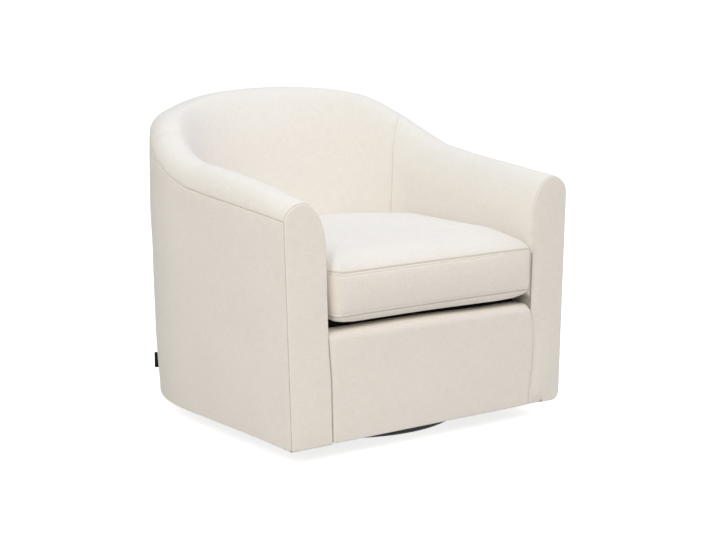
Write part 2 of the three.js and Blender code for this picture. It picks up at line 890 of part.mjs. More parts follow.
function glidePlaces() {
  return Array.from({ length: glideCount }, (_, i) => {
    const angle = ((i + 0.5) / glideCount) * 2 * Math.PI;
    return [glideCircle * Math.cos(angle), glideCircle * Math.sin(angle)];
  });
}

function addPlinth() {
  const board = revolve(
    [
      [0, plinthBottom],
      [plinthRadius - plinthEdge, plinthBottom],
      [plinthRadius, plinthBottom + plinthEdge],
      [plinthRadius, plinthTop - plinthEdge],
      [plinthRadius - plinthEdge, plinthTop],
      [0, plinthTop],
    ],
    plinthSides,
  );
  const screwEnd = lowerPlateBottom + plateThickness - boltLength;
  const holes = boltPlaces.map(([x, y]) =>
    cylinder(boltRadius + seatGap, screwEnd, plinthTop + cutOverrun).translate(x, y, 0),
  );
  const nailTop = plinthBottom + glideNailLength;
  for (const [x, y] of glidePlaces()) {
    const nail = cylinder(glideNailRadius + seatGap, plinthBottom - cutOverrun, nailTop + seatGap);
    holes.push(nail.translate(x, y, 0));
  }
  add(chair, "base_plinth", cut(board, holes), blackPaint);
  glidePlaces().forEach(([x, y], i) => {
    const glide = revolve(
      [
        [0, 0],
        [glideRadius * glideFootShare, 0],
        [glideRadius, glideHeight / 2],
        [glideRadius, glideHeight],
        [glideNailRadius, glideHeight],
        [glideNailRadius, nailTop],
        [0, nailTop],
      ],
      smallSides,
    );
    add(chair, `floor_glide_${i + 1}`, glide.translate(x, y, 0), nylon);
  });
}

// The cross rails carry the chair on the swivel's upper plate, between the bottom frame's
// sides. Their length lets the rear one fit where the frame starts to curve.

const crossRailBottom = upperPlateTop + seatGap;

function addCrossRails() {
  const bottom = crossRailBottom;
  const hollowRadius = halfWidth - frameInset - bottomFrameWidth;
  const bend = outsideSeamReach / backSpans / halfWidth;
  const rearEdge = (boltSpacing + crossRailWidth) / 2 + swivelSetback - armStraight;
  const end = Math.sqrt((hollowRadius * Math.cos(bend / 2)) ** 2 - rearEdge ** 2) - seatGap;
  const drillTop = upperPlateTop + boltLength;
  const drills = boltPlaces.map(([x, y]) =>
    cylinder(boltRadius + seatGap, bottom - cutOverrun, drillTop).translate(x, y, 0),
  );
  for (const [name, sign] of [
    ["front", -1],
    ["rear", 1],
  ]) {
    const rail = new THREE.BoxGeometry(2 * end, crossRailWidth, plywood);
    rail.translate(0, (sign * boltSpacing) / 2, bottom + plywood / 2);
    add(chair, `cross_rail_${name}`, cut(rail, drills), birch);
  }
}

// Thin black cloth closes the underside round the swivel.
function addDustCover() {
  const top = crossRailBottom - floorClearance - seatGap;
  const edge = roundOutline(() => -coverReturn - seatGap, coverReturn + seatGap);
  const shape = flatShape(edge);
  const opening = roundedSquare(plateWidth + 2 * dustCoverGap, plateCorner);
  const hole = opening.map((p) => new THREE.Vector2(p.x, p.y + swivelSetback));
  shape.holes.push(new THREE.Path(hole));
  add(body, "dust_cover", slab(shape, top - dustCoverThickness, top), blackCloth);
}

// Seat cushion: boxed, D-shaped in plan, with a crown, seam grooves and drawn-in edges.

// Shares across the front, and of the draw-in there.
const frontSpotShares = [
  [-0.6, 0.64],
  [-0.2, 0.96],
  [0.2, 0.96],
  [0.6, 0.64],
];

// The cushion's edge at one height, a few millimetres in from the walls and the front line.
function cushionOutline(height, inset) {
  const cornerY = cushionFront + cushionCorner;
  const points = roundOutline((run) => insideReach(run, height) - cushionGap - inset, cornerY);
  const sideX = points[points.length - 1].x;
  const radius = cushionCorner - inset;
  const corner = (centreX, from, to) =>
    Array.from({ length: cornerSpans + 1 }, (_, i) => {
      const angle = THREE.MathUtils.lerp(from, to, i / cornerSpans);
      const x = centreX + radius * Math.cos(angle);
      return new THREE.Vector2(x, cornerY + radius * Math.sin(angle));
    });
  const front = frontSpotShares.map(([acrossShare, drawInShare]) => {
    const y = cushionFront + inset + cushionEdgeDrawIn * drawInShare;
    return new THREE.Vector2(-acrossShare * sideX, y);
  });
  return [
    ...points.slice(1, -1),
    ...corner(sideX - radius, 0, -Math.PI / 2),
    ...front,
    ...corner(radius - sideX, -Math.PI / 2, -Math.PI),
  ];
}

// Shares that place each ring: how far towards the middle, and how high in its own stage.
const undersideShares = [
  [0.6, 0],
  [0.16, 0],
  [0.06, 0.2],
  [0.01, 0.6],
];
const boxingShares = [
  [0, 0],
  [0.6, 0.15],
  [1, 0.5],
  [0.6, 0.85],
  [0, 1],
];
const crownShares = [
  [0.02, 0.24],
  [0.055, 0.45],
  [0.13, 0.7],
  [0.28, 0.9],
  [0.54, 0.98],
  [0.8, 1],
];

// Rings of the cushion from the middle of its underside, up its boxing and over its crown.
function cushionRings() {
  const centre = new THREE.Vector2(0, (fullDepth - backCrestInset) / 2);
  const underside = deckTop + seatGap;
  const ring = (height, edgeHeight, inset, inShare) =>
    cushionOutline(edgeHeight, inset).map((p) => {
      const at = p.lerp(centre, inShare);
      return new THREE.Vector3(at.x, at.y, height);
    });
  const under = undersideShares.map(([inShare, riseShare]) => {
    const height = THREE.MathUtils.lerp(underside, bottomSeamHeight, riseShare);
    return ring(height, bottomSeamHeight, seamGroove, inShare);
  });
  const boxing = boxingShares.map(([bulgeShare, riseShare]) => {
    const height = THREE.MathUtils.lerp(bottomSeamHeight, topSeamHeight, riseShare);
    const inset = THREE.MathUtils.lerp(seamGroove, -cushionBoxingBulge, bulgeShare);
    return ring(height, height, inset, 0);
  });
  const crown = crownShares.map(([inShare, riseShare]) =>
    ring(topSeamHeight + cushionCrown * riseShare, topSeamHeight, 0, inShare),
  );
  return [...under, ...boxing, ...crown];
}

function addCushion() {
  add(body, "seat_cushion", loft(cushionRings()), linen);
}

function addTab() {
  const tab = new THREE.BoxGeometry(tabReach, tabThickness, tabHeight);
  const height = tabBottom + tabHeight / 2;
  const reach = outsideReach(outsideSeamReach, tabBottom + tabHeight) + seatGap + tabReach / 2;
  const mesh = add(body, "seam_tab", tab, blackCloth);
  mesh.position.copy(place(-outsideSeamReach, reach, height));
  mesh.rotation.z = Math.PI / 2 + outsideSeamReach / halfWidth;
}

addPlinth();
addSwivel();
addBallRing();
addFasteners();
addCrossRails();
addBottomFrame();
addSeatFrame();
addFrontBoards();
addRibs();
addTopRail();
addSeatDeck();
addPadding();
addBarrelCovers();
addArmFronts();
addRailCover();
addDustCover();
addTab();
addCushion();

export default chair;
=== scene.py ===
"""Swivel barrel chair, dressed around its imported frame.

Metres, +Z up, the front faces -Y and the swivel axis is the Z axis. The barrel is
drawn by run, the distance along the outer line of the wall from the middle of the
back (right is positive), by reach, outwards from that line, and by height.
"""

from __future__ import annotations

import json
import logging
import math
from collections.abc import Callable, Sequence
from dataclasses import dataclass
from enum import Enum
from functools import cached_property

import bmesh
import bpy
import numpy as np
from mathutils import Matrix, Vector


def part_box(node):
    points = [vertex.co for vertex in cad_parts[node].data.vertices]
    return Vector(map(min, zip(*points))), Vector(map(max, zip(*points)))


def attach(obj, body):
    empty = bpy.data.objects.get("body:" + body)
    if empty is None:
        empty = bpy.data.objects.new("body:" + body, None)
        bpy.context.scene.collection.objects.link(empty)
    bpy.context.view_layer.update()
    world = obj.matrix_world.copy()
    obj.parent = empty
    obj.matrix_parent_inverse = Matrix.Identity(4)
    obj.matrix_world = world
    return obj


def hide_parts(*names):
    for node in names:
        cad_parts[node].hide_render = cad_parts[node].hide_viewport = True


log = logging.getLogger("barrel_chair")

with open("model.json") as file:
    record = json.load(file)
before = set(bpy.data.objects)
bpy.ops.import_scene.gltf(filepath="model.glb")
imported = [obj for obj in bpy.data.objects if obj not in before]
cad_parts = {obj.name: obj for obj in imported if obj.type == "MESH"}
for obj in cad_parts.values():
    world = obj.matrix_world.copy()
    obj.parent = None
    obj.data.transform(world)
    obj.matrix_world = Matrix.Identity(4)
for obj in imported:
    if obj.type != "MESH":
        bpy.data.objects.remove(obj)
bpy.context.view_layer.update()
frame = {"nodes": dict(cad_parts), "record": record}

Grid = np.ndarray
Piece = bpy.types.Object
Material = bpy.types.Material
Tree = bpy.types.NodeTree
Node = bpy.types.Node
Socket = bpy.types.NodeSocket
Colour = tuple[float, float, float]
Spot = tuple[float, float, float]
Pair = tuple[float, float]
Edge = Callable[[Grid], Grid]
Paint = tuple[float, float, float, float]


class Body(Enum):
    """The moving bodies that the scene's own pieces ride on."""

    CHAIR = "chair"
    CUSHION = "seat_cushion"


class Slot(Enum):
    """The record's material slots."""

    LINEN = "linen"
    WADDING = "wadding"
    BLACK_CLOTH = "black_cloth"
    BLACK_PAINT = "black_paint"
    BIRCH = "birch"
    FIBREBOARD = "fibreboard"
    STEEL = "steel"
    BLACK_STEEL = "black_steel"
    NYLON = "nylon"


class Side(Enum):
    """Which side of the chair, as seen from the front."""

    LEFT = -1
    RIGHT = 1

    @property
    def word(self) -> str:
        """The side's word in the names of nodes and pieces."""
        return self.name.lower()


# Shared arithmetic.


def smooth(share: Grid) -> Grid:
    """An eased step from 0 to 1, where the share goes from 0 to 1."""
    held = np.clip(share, 0.0, 1.0)
    return held * held * (3 - 2 * held)


def swell(place: Grid, middle: float, half_width: float) -> Grid:
    """A soft hump, 1 at the middle and 0 from half_width away."""
    return smooth(1 - np.abs(place - middle) / half_width)


def rolled_edge(distance: Grid, depth: float, width: float) -> Grid:
    """How deep cloth turns down at a distance from a seam, from width to the seam."""
    left = 1 - np.clip(distance / width, 0.0, 1.0)
    return depth * (1 - np.sqrt(np.maximum(0.0, 1 - left**2)))


def groove(distance: Grid, depth: float, width: float) -> Grid:
    """Depth of the hollow that a line of stitches pulls into padding, gone at width."""
    return depth * np.exp(-((distance / width) ** 2) * 2.5)


def stations(length: float, step: float, fine: Sequence[float]) -> Grid:
    """Spots along a line, close together at both ends.

    Args:
        length: Length of the line.
        step: Greatest distance between spots.
        fine: Distances from each end that get a spot.

    Returns:
        The spots, from 0 to length.
    """
    inner = fine[-1]
    count = max(2, int(math.ceil((length - 2 * inner) / step)) + 1)
    middle = np.linspace(inner, length - inner, count)
    start = np.array(fine[:-1])
    return np.r_[start, middle, length - start[::-1]]


def eased_between(values: Grid, at: Grid, around: bool) -> Grid:
    """Reads rows of values between their numbers, without kinks.

    Args:
        values: One row for each whole number.
        at: Places to read, in row numbers.
        around: True where the last row is followed by the first.

    Returns:
        One row for each place.
    """
    base = np.floor(at).astype(int)
    share = (at - base).reshape((-1,) + (1,) * (values.ndim - 1))
    rows = []
    for step in (-1, 0, 1, 2):
        number = base + step
        number = number % len(values) if around else np.clip(number, 0, len(values) - 1)
        rows.append(values[number])
    before, first, second, after = rows
    slope = (second - before) / 2
    next_slope = (after - first) / 2
    square, cube = share**2, share**3
    return (
        (2 * cube - 3 * square + 1) * first
        + (cube - 2 * square + share) * slope
        + (3 * square - 2 * cube) * second
        + (cube - square) * next_slope
    )


# Distances from a seam of the barrel that get a row of places.
SEAM_SPOTS = (0.0, 0.0005, 0.0012, 0.0022, 0.0036, 0.0054, 0.0078, 0.0110)
# How far stitches lie above their cover.
STITCH_LIFT = 0.0001


@dataclass(frozen=True)
class Lumps:
    """Smooth seeded lumps in space, as stuffing makes them under cloth."""

    seed: int
    size: tuple[float, float, float]

    def at(self, points: Grid) -> Grid:
        """Reads the lumps.

        Args:
            points: Places, with x, y and z in the last axis.

        Returns:
            A height for each place, about -1 to 1.
        """
        table = np.random.default_rng(self.seed).uniform(-1, 1, (24, 24, 24))
        cells = points / np.array(self.size)
        base = np.floor(cells).astype(int)
        part = smooth(cells - base)
        total = np.zeros(points.shape[:-1])
        for corner in np.ndindex(2, 2, 2):
            weight = np.ones(points.shape[:-1])
            for axis in range(3):
                share = part[..., axis]
                weight = weight * (share if corner[axis] else 1 - share)
            spot = (base + np.array(corner)) % 24
            total += weight * table[spot[..., 0], spot[..., 1], spot[..., 2]]
        return total * 1.3


def grid_normals(points: Grid) -> Grid:
    """Unit normals of a grid of points, across the first axis times the second."""
    normal = np.cross(np.gradient(points, axis=0), np.gradient(points, axis=1))
    return normal / np.maximum(np.linalg.norm(normal, axis=-1, keepdims=True), 1e-12)


def facing(points: Grid, spot: tuple[int, int], way: Sequence[float]) -> Grid:
    """Unit normals of a grid, turned over if at a spot they don't face a way."""
    normals = grid_normals(points)
    return normals if float(normals[spot] @ np.array(way)) >= 0 else -normals


def walked(points: Grid, axis: int = 0) -> Grid:
    """How far each place of a grid is from the start of its line along an axis."""
    steps = np.linalg.norm(np.diff(points, axis=axis), axis=-1)
    return np.cumsum(np.insert(steps, 0, 0.0, axis=axis), axis=axis)


def laid_lengths(points: Grid) -> Grid:
    """Where each place of a grid lies on the flat cloth, so that a weave keeps its scale."""
    across = walked(points)
    return np.stack([across - across[len(points) // 2], walked(points, 1)], -1)


# Meshes.

LAID_CLOTH = "laid_cloth"
SEAM_SHADE = "seam_shade"


def seam_shade(distance: Grid, strength: float, width: float = 0.0013) -> Grid:
    """How much a seam's fold is in its own shade, strength on the seam and 0 past width."""
    return strength * np.exp(-((distance / width) ** 2))


def mesh_object(
    name: str,
    points: Grid,
    faces: Sequence[Sequence[int]],
    laid: Grid | None = None,
    shade: Grid | None = None,
) -> Piece:
    """Makes an object of points and faces, smooth shaded.

    Args:
        name: Name of the piece.
        points: One place a row.
        faces: Point numbers of each face.
        laid: Where each point lies on the flat cloth, or None.
        shade: How much each point is in the shade of a seam, or None.

    Returns:
        The new object, linked into the scene.
    """
    mesh = bpy.data.meshes.new(name)
    mesh.from_pydata(points.tolist(), [], [list(face) for face in faces])
    if laid is not None:
        layer = mesh.attributes.new(name=LAID_CLOTH, type="FLOAT_VECTOR", domain="POINT")
        layer.data.foreach_set("vector", np.pad(laid, ((0, 0), (0, 1))).ravel())
    if shade is not None:
        layer = mesh.attributes.new(name=SEAM_SHADE, type="FLOAT", domain="POINT")
        layer.data.foreach_set("value", np.ascontiguousarray(shade.ravel(), dtype=np.float32))
    mesh.validate()
    mesh.shade_smooth()
    piece = bpy.data.objects.new(name, mesh)
    bpy.context.scene.collection.objects.link(piece)
    return piece


def grid_faces(numbers: Grid, flip: bool) -> list[list[int]]:
    """Faces of a grid of points, given the points' numbers, turned over if flip is True."""
    corners = [numbers[:-1, :-1], numbers[1:, :-1], numbers[1:, 1:], numbers[:-1, 1:]]
    return np.stack(corners[::-1] if flip else corners, -1).reshape(-1, 4).tolist()


def cloth_shell(
    name: str,
    points: Grid,
    outwards: Grid,
    thickness: float,
    around: bool = False,
    shade: Grid | None = None,
) -> Piece:
    """Makes a closed sheet of cloth from a grid of points.

    Args:
        name: Name of the piece.
        points: Rows and columns of places on the cloth's face.
        outwards: The grid's normals, pointing away from the padding.
        thickness: How far the back of the cloth lies behind its face.
        around: True where the last row of the grid is followed by the first.
        shade: How much each place is in the shade of a seam, or None.

    Returns:
        The new object.
    """
    rows, columns = points.shape[:2]
    count = rows * columns
    back = points - outwards * thickness
    own = grid_normals(points)
    flip = float(np.sum(own * outwards)) < 0
    numbers = np.arange(count).reshape(rows, columns)
    if around:
        numbers = np.vstack([numbers, numbers[:1]])
        rims = [numbers[:, 0][::-1], numbers[:, -1]]
    else:
        rims = [
            np.concatenate(
                [numbers[0, :-1], numbers[:-1, -1], numbers[-1, :0:-1], numbers[:, 0][::-1]]
            )
        ]
    face = grid_faces(numbers, flip)
    faces = face + grid_faces(numbers + count, not flip)
    for rim in rims:
        first, second = rim[:-1], rim[1:]
        sides = np.stack([first, second, second + count, first + count], axis=-1)
        faces += (sides[:, ::-1] if flip else sides).tolist()
    laid = laid_lengths(points).reshape(-1, 2)
    everything = np.concatenate([points.reshape(-1, 3), back.reshape(-1, 3)])
    if shade is not None:
        shade = np.concatenate([shade.ravel(), shade.ravel()])
    return mesh_object(name, everything, faces, np.concatenate([laid, laid]), shade)


def turn_outwards(piece: Piece) -> None:
    """Makes all faces of a closed mesh look outwards.

    Args:
        piece: The piece.
    """
    edit = bmesh.new()
    edit.from_mesh(piece.data)
    bmesh.ops.recalc_face_normals(edit, faces=edit.faces[:])
    edit.to_mesh(piece.data)
    edit.free()
    piece.data.shade_smooth()


def ringed(points: Grid) -> tuple[Grid, list[list[int]]]:
    """Joins rings of places into a closed body with a pole at each end.

    Args:
        points: Rings of places, from one end to the other.

    Returns:
        One place a row, with both poles last, and the point numbers of each face.
    """
    rows, columns = points.shape[:2]
    numbers = np.arange(rows * columns).reshape(rows, columns)
    beside = np.roll(numbers, -1, axis=1)
    sides = np.stack([numbers[:-1], numbers[1:], beside[1:], beside[:-1]], -1).reshape(-1, 4)
    first = np.stack([numbers[0], beside[0], np.full(columns, rows * columns)], -1)
    last = np.stack([beside[-1], numbers[-1], np.full(columns, rows * columns + 1)], -1)
    poles = np.array([points[0].mean(0), points[-1].mean(0)])
    faces = sides.tolist() + first.tolist() + last.tolist()
    return np.vstack([points.reshape(-1, 3), poles]), faces


def round_body(name: str, points: Grid, shade: Grid | None = None) -> Piece:
    """Makes a closed body of rings, with a pole at each end.

    Args:
        name: Name of the piece.
        points: Rings of places, from one end to the other.
        shade: How much each place is in the shade of a seam, or None.

    Returns:
        The new piece, with its faces outwards.
    """
    if shade is not None:
        shade = np.pad(shade.ravel(), (0, 2))
    piece = mesh_object(name, *ringed(points), shade=shade)
    turn_outwards(piece)
    return piece


# The barrel's form.

TENTH_MM = 0.0001
# How far the real roll and the seam under it sit above even ones, from the front of the
# left arm round the back to the front of the right arm, at every lift_step of run.
CREST_TENTHS = (-70, 14, 32, -30, -100, -128, -64, -28, 17, 29, -21, -14, -36, -16, -12)
SEAM_TENTHS = (-22, -44, -80, -87, -80, -97, -64, -24, 10, 30, 37, 41, 26, 8, -13)


@dataclass(frozen=True)
class BarrelForm:
    """The wall of the chair: a half barrel with straight arms and a rolled crest."""

    half_width: float = 0.380
    arm_straight: float = 0.450
    front_y: float = -0.350
    clearance: float = 0.038
    arm_height: float = 0.535
    arm_rise: float = 0.0975
    back_height: float = 0.707
    back_crown_drop: float = 0.062
    crest_fall_start: float = 0.348
    crest_fall_end: float = 0.675
    full_back: float = 0.200
    full_arm: float = 0.720
    side_flare: float = 0.033
    back_flare: float = 0.018
    belly: float = 0.0046
    belly_run: float = 0.36
    belly_spread: float = 0.34
    belly_rise: float = 0.16
    belly_top: float = 0.62
    toe: float = 0.0030
    toe_run: float = 0.7
    toe_height: float = 0.30
    crest_inset: Pair = (0.031, 0.082)
    roll_foot_inset: Pair = (0.0915, 0.172)
    seat_inset: Pair = (0.0967, 0.250)
    seam_drop: Pair = (0.042, 0.052)
    roll_drop: Pair = (0.100, 0.150)
    crest_plan_power: float = 1.9
    inside_plan_power: float = 2.2
    tuck_height: float = 0.2283
    front_corner_round: float = 0.020
    front_corner_fade: float = 0.10
    lift_step: float = 0.15

    @property
    def arch(self) -> float:
        """Run from the middle of the back to where an arm gets straight."""
        return self.half_width * math.pi / 2

    @property
    def front_run(self) -> float:
        """Run from the middle of the back to the front of an arm."""
        return self.arch + self.arm_straight

    def outline(self, run: Grid) -> tuple[Grid, Grid]:
        """The wall's outer line in plan.

        Args:
            run: Distance along the line from the middle of the back.

        Returns:
            Places on the line and the directions out of it, both with x and y last.
        """
        side = np.sign(run)
        turn = np.minimum(np.abs(run), self.arch) / self.half_width
        outward = np.stack([side * np.sin(turn), np.cos(turn)], axis=-1)
        foot = outward * self.half_width
        forwards = np.maximum(np.abs(run) - self.arch, 0)
        foot[..., 1] += self.front_y + self.arm_straight - forwards
        return foot, outward

    def place(self, run: Grid, reach: Grid, height: Grid) -> Grid:
        """Puts a spot of the wall into space.

        Args:
            run: Distance along the outer line.
            reach: Distance outwards from the line.
            height: Height above the bottom edge.

        Returns:
            Places with x, y and z last.
        """
        run, reach, height = np.broadcast_arrays(run, reach, height)
        foot, outward = self.outline(run)
        plan = foot + outward * reach[..., None]
        return np.concatenate([plan, height[..., None] + self.clearance], axis=-1)

    def back_share(self, run: Grid) -> Grid:
        """How much a spot belongs to the back, 1 there and 0 on the arms."""
        span = self.full_arm - self.full_back
        return smooth((self.full_arm - np.abs(run)) / span)

    def between(self, pair: Pair, run: Grid) -> Grid:
        """A size that goes from its value on the arms to that on the back."""
        return pair[0] + (pair[1] - pair[0]) * self.back_share(run)

    def bowed(self, pair: Pair, power: float, run: Grid) -> Grid:
        """An inset whose line in plan is a rounded bow.

        Args:
            pair: Inset on the arms and at the back.
            power: How square the bow is.
            run: Distance along the outer line.

        Returns:
            The inset from the outer line.
        """
        turn = np.minimum(np.abs(run), self.arch) / self.half_width
        across = np.sin(turn) / (self.half_width - pair[0])
        along = np.cos(turn) / (self.half_width - pair[1])
        bow = (across**power + np.maximum(along, 0) ** power) ** (-1 / power)
        return self.half_width - bow

    def lifted(self, tenths: Sequence[int], run: Grid) -> Grid:
        """Reads a row of lifts at some runs.

        Args:
            tenths: Lifts in tenths of a millimetre from the left front to the right front.
            run: Distance along the outer line.

        Returns:
            The lift at each run.
        """
        last = len(tenths) - 1
        at = np.clip(np.ravel(run) / self.lift_step + last / 2, 0, last)
        read = eased_between(np.array(tenths) * TENTH_MM, at, False)
        return read.reshape(np.shape(run))

    def even_crest(self, run: Grid) -> Grid:
        """Height of the crest of an even roll.

        Args:
            run: Distance along the outer line.

        Returns:
            The height above the bottom edge at each run.
        """
        away = np.abs(run)
        arm = self.arm_height + self.arm_rise * (self.front_run - away)
        back = self.back_height - self.back_crown_drop * (away / self.arch) ** 2
        span = self.crest_fall_end - self.crest_fall_start
        share = smooth((self.crest_fall_end - away) / span)
        return arm + (back - arm) * share

    def crest_height(self, run: Grid) -> Grid:
        """Height of the crest of the roll."""
        return self.even_crest(run) + self.lifted(CREST_TENTHS, run)

    def seam_height(self, run: Grid) -> Grid:
        """Height of the seam under the outside of the roll."""
        even = self.even_crest(run) - self.between(self.seam_drop, run)
        return even + self.lifted(SEAM_TENTHS, run)

    def roll_foot_height(self, run: Grid) -> Grid:
        """Height where the roll runs out into the inside wall."""
        return self.crest_height(run) - self.between(self.roll_drop, run)

    def outside_reach(self, run: Grid, height: Grid) -> Grid:
        """Reach of the outside wall, padded round the rear and splayed at the right front.

        Args:
            run: Distance along the outer line.
            height: Height above the bottom edge.

        Returns:
            The reach outwards from the line.
        """
        flared = self.between((self.side_flare, self.back_flare), run) * height
        full = smooth(height / self.belly_rise) * smooth((self.belly_top - height) / 0.22)
        padded = self.belly * swell(np.abs(run), self.belly_run, self.belly_spread) * full
        forwards = smooth((run - self.toe_run) / 0.3)
        return flared + padded + self.toe * forwards * (1 - height / self.toe_height)

    def worn_corner(self, run: Grid, height: Grid) -> Grid:
        """How far the bottom corner at the front of the right arm is rounded off.

        Args:
            run: Distance along the outer line.
            height: Height above the bottom edge.

        Returns:
            How much less the wall reaches out.
        """
        to_front = self.front_run - run
        radius = self.front_corner_round * smooth(1 - to_front / self.front_corner_fade)
        below = np.clip(radius - height, 0, None)
        return radius - np.sqrt(np.maximum(radius**2 - below**2, 0))

    def lean(self, run: Grid) -> Grid:
        """How far the inside wall comes in for each metre down.

        Args:
            run: Distance along the outer line.

        Returns:
            The lean at each run.
        """
        seat = self.bowed(self.seat_inset, self.inside_plan_power, run)
        foot = self.bowed(self.roll_foot_inset, self.inside_plan_power, run)
        return (seat - foot) / (self.roll_foot_height(run) - self.tuck_height)

    def inside_reach(self, run: Grid, height: Grid) -> Grid:
        """Reach of the inside wall."""
        foot = self.bowed(self.roll_foot_inset, self.inside_plan_power, run)
        return -foot - self.lean(run) * (self.roll_foot_height(run) - height)

    def roll(self, run: Grid, way: Grid) -> Grid:
        """The inside cover's face, from the outer seam over the roll to the seat.

        Args:
            run: Distance along the outer line.
            way: 0 at the outer seam, 1 at the crest, 2 at the foot of the roll and
                3 where the cover is tucked in.

        Returns:
            Places with x, y and z last.
        """
        run, way = np.broadcast_arrays(run, way)
        crest = self.crest_height(run)
        seam = self.seam_height(run)
        inset = self.bowed(self.crest_inset, self.crest_plan_power, run)
        foot = self.bowed(self.roll_foot_inset, self.inside_plan_power, run)
        lean = self.lean(run)
        drop = self.between(self.roll_drop, run)
        outer = np.clip(way, 0, 1) * math.pi / 2
        inner = np.clip(way - 1, 0, 1) * math.pi / 2
        low = np.clip(way - 2, 0, 1)
        outer_reach = (self.outside_reach(run, seam) + inset) * np.cos(outer) - inset
        outer_height = seam + (crest - seam) * np.sin(outer)
        fallen = drop * (1 - np.cos(inner))
        width = foot - inset - lean * drop
        inner_reach = -inset - width * np.sin(inner) - lean * fallen
        wall_height = (crest - drop) * (1 - low) + self.tuck_height * low
        wall_reach = self.inside_reach(run, wall_height)
        reach = np.where(way < 1, outer_reach, np.where(way < 2, inner_reach, wall_reach))
        height = np.where(way < 1, outer_height, np.where(way < 2, crest - fallen, wall_height))
        return self.place(run, reach, height)


@dataclass(frozen=True)
class SeamPlan:
    """Where the covers meet, in run."""

    inside_runs: tuple[float, ...] = (0.464, 0.487, 0.511, 0.513)
    outside: float = 0.351
    front_setback: float = 0.0031

    def inside(self, way: Grid) -> Grid:
        """Run of the right seam of the inside back at a way, as in BarrelForm.roll."""
        return np.interp(way, range(len(self.inside_runs)), self.inside_runs)


# Shader groups.


class Nodes:
    """Writes shader nodes into one tree."""

    def __init__(self, tree: Tree) -> None:
        """Keeps the tree to write into."""
        self.tree = tree

    def add(self, kind: str, **settings: object) -> Node:
        """Adds a node.

        Args:
            kind: Blender's name of the node.
            **settings: Values for the node's own properties.

        Returns:
            The new node.
        """
        node = self.tree.nodes.new(kind)
        for key, value in settings.items():
            setattr(node, key, value)
        return node

    def join(self, source: Socket, target: Socket) -> None:
        """Links two sockets."""
        self.tree.links.new(source, target)

    def feed(self, socket: Socket, value: object) -> None:
        """Links a socket to another one, or sets its value.

        Args:
            socket: The input.
            value: Another socket, or a plain value.
        """
        if isinstance(value, Socket):
            self.join(value, socket)
        else:
            socket.default_value = value

    def fill(self, node: Node, **values: object) -> Node:
        """Feeds a node's inputs, named with _ for a space, and gives the node back."""
        for key, value in values.items():
            self.feed(node.inputs[key.replace("_", " ")], value)
        return node

    def math(self, operation: str, *values: object) -> Socket:
        """A sum of sockets or numbers.

        Args:
            operation: Blender's name of the sum.
            *values: Sockets or numbers, in order.

        Returns:
            The result's socket.
        """
        node = self.add("ShaderNodeMath", operation=operation)
        for socket, value in zip(node.inputs, values):
            self.feed(socket, value)
        return node.outputs[0]

    def stretched(self, vector: object, sizes: Sequence[float]) -> Socket:
        """Places divided by a length on each axis.

        Args:
            vector: Socket of the places.
            sizes: The length of one unit along x, y and z.

        Returns:
            The scaled places.
        """
        node = self.add("ShaderNodeVectorMath", operation="DIVIDE")
        self.feed(node.inputs[0], vector)
        node.inputs[1].default_value = tuple(sizes)
        return node.outputs[0]

    def noise(self, vector: object, detail: float = 2.0) -> Socket:
        """Noise of one unit's size, 0 to 1, with finer layers as detail."""
        node = self.add("ShaderNodeTexNoise")
        return self.fill(node, Scale=1.0, Detail=detail, Vector=vector).outputs["Fac"]

    def blend(self, share: object, first: object, second: object) -> Socket:
        """A mix of two colours.

        Args:
            share: How much of the second colour there is.
            first: First colour or its socket.
            second: Second colour or its socket.

        Returns:
            The mixed colour's socket.
        """
        node = self.add("ShaderNodeMix", data_type="RGBA")
        self.feed(node.inputs[0], share)
        self.feed(node.inputs[6], first)
        self.feed(node.inputs[7], second)
        return node.outputs[2]


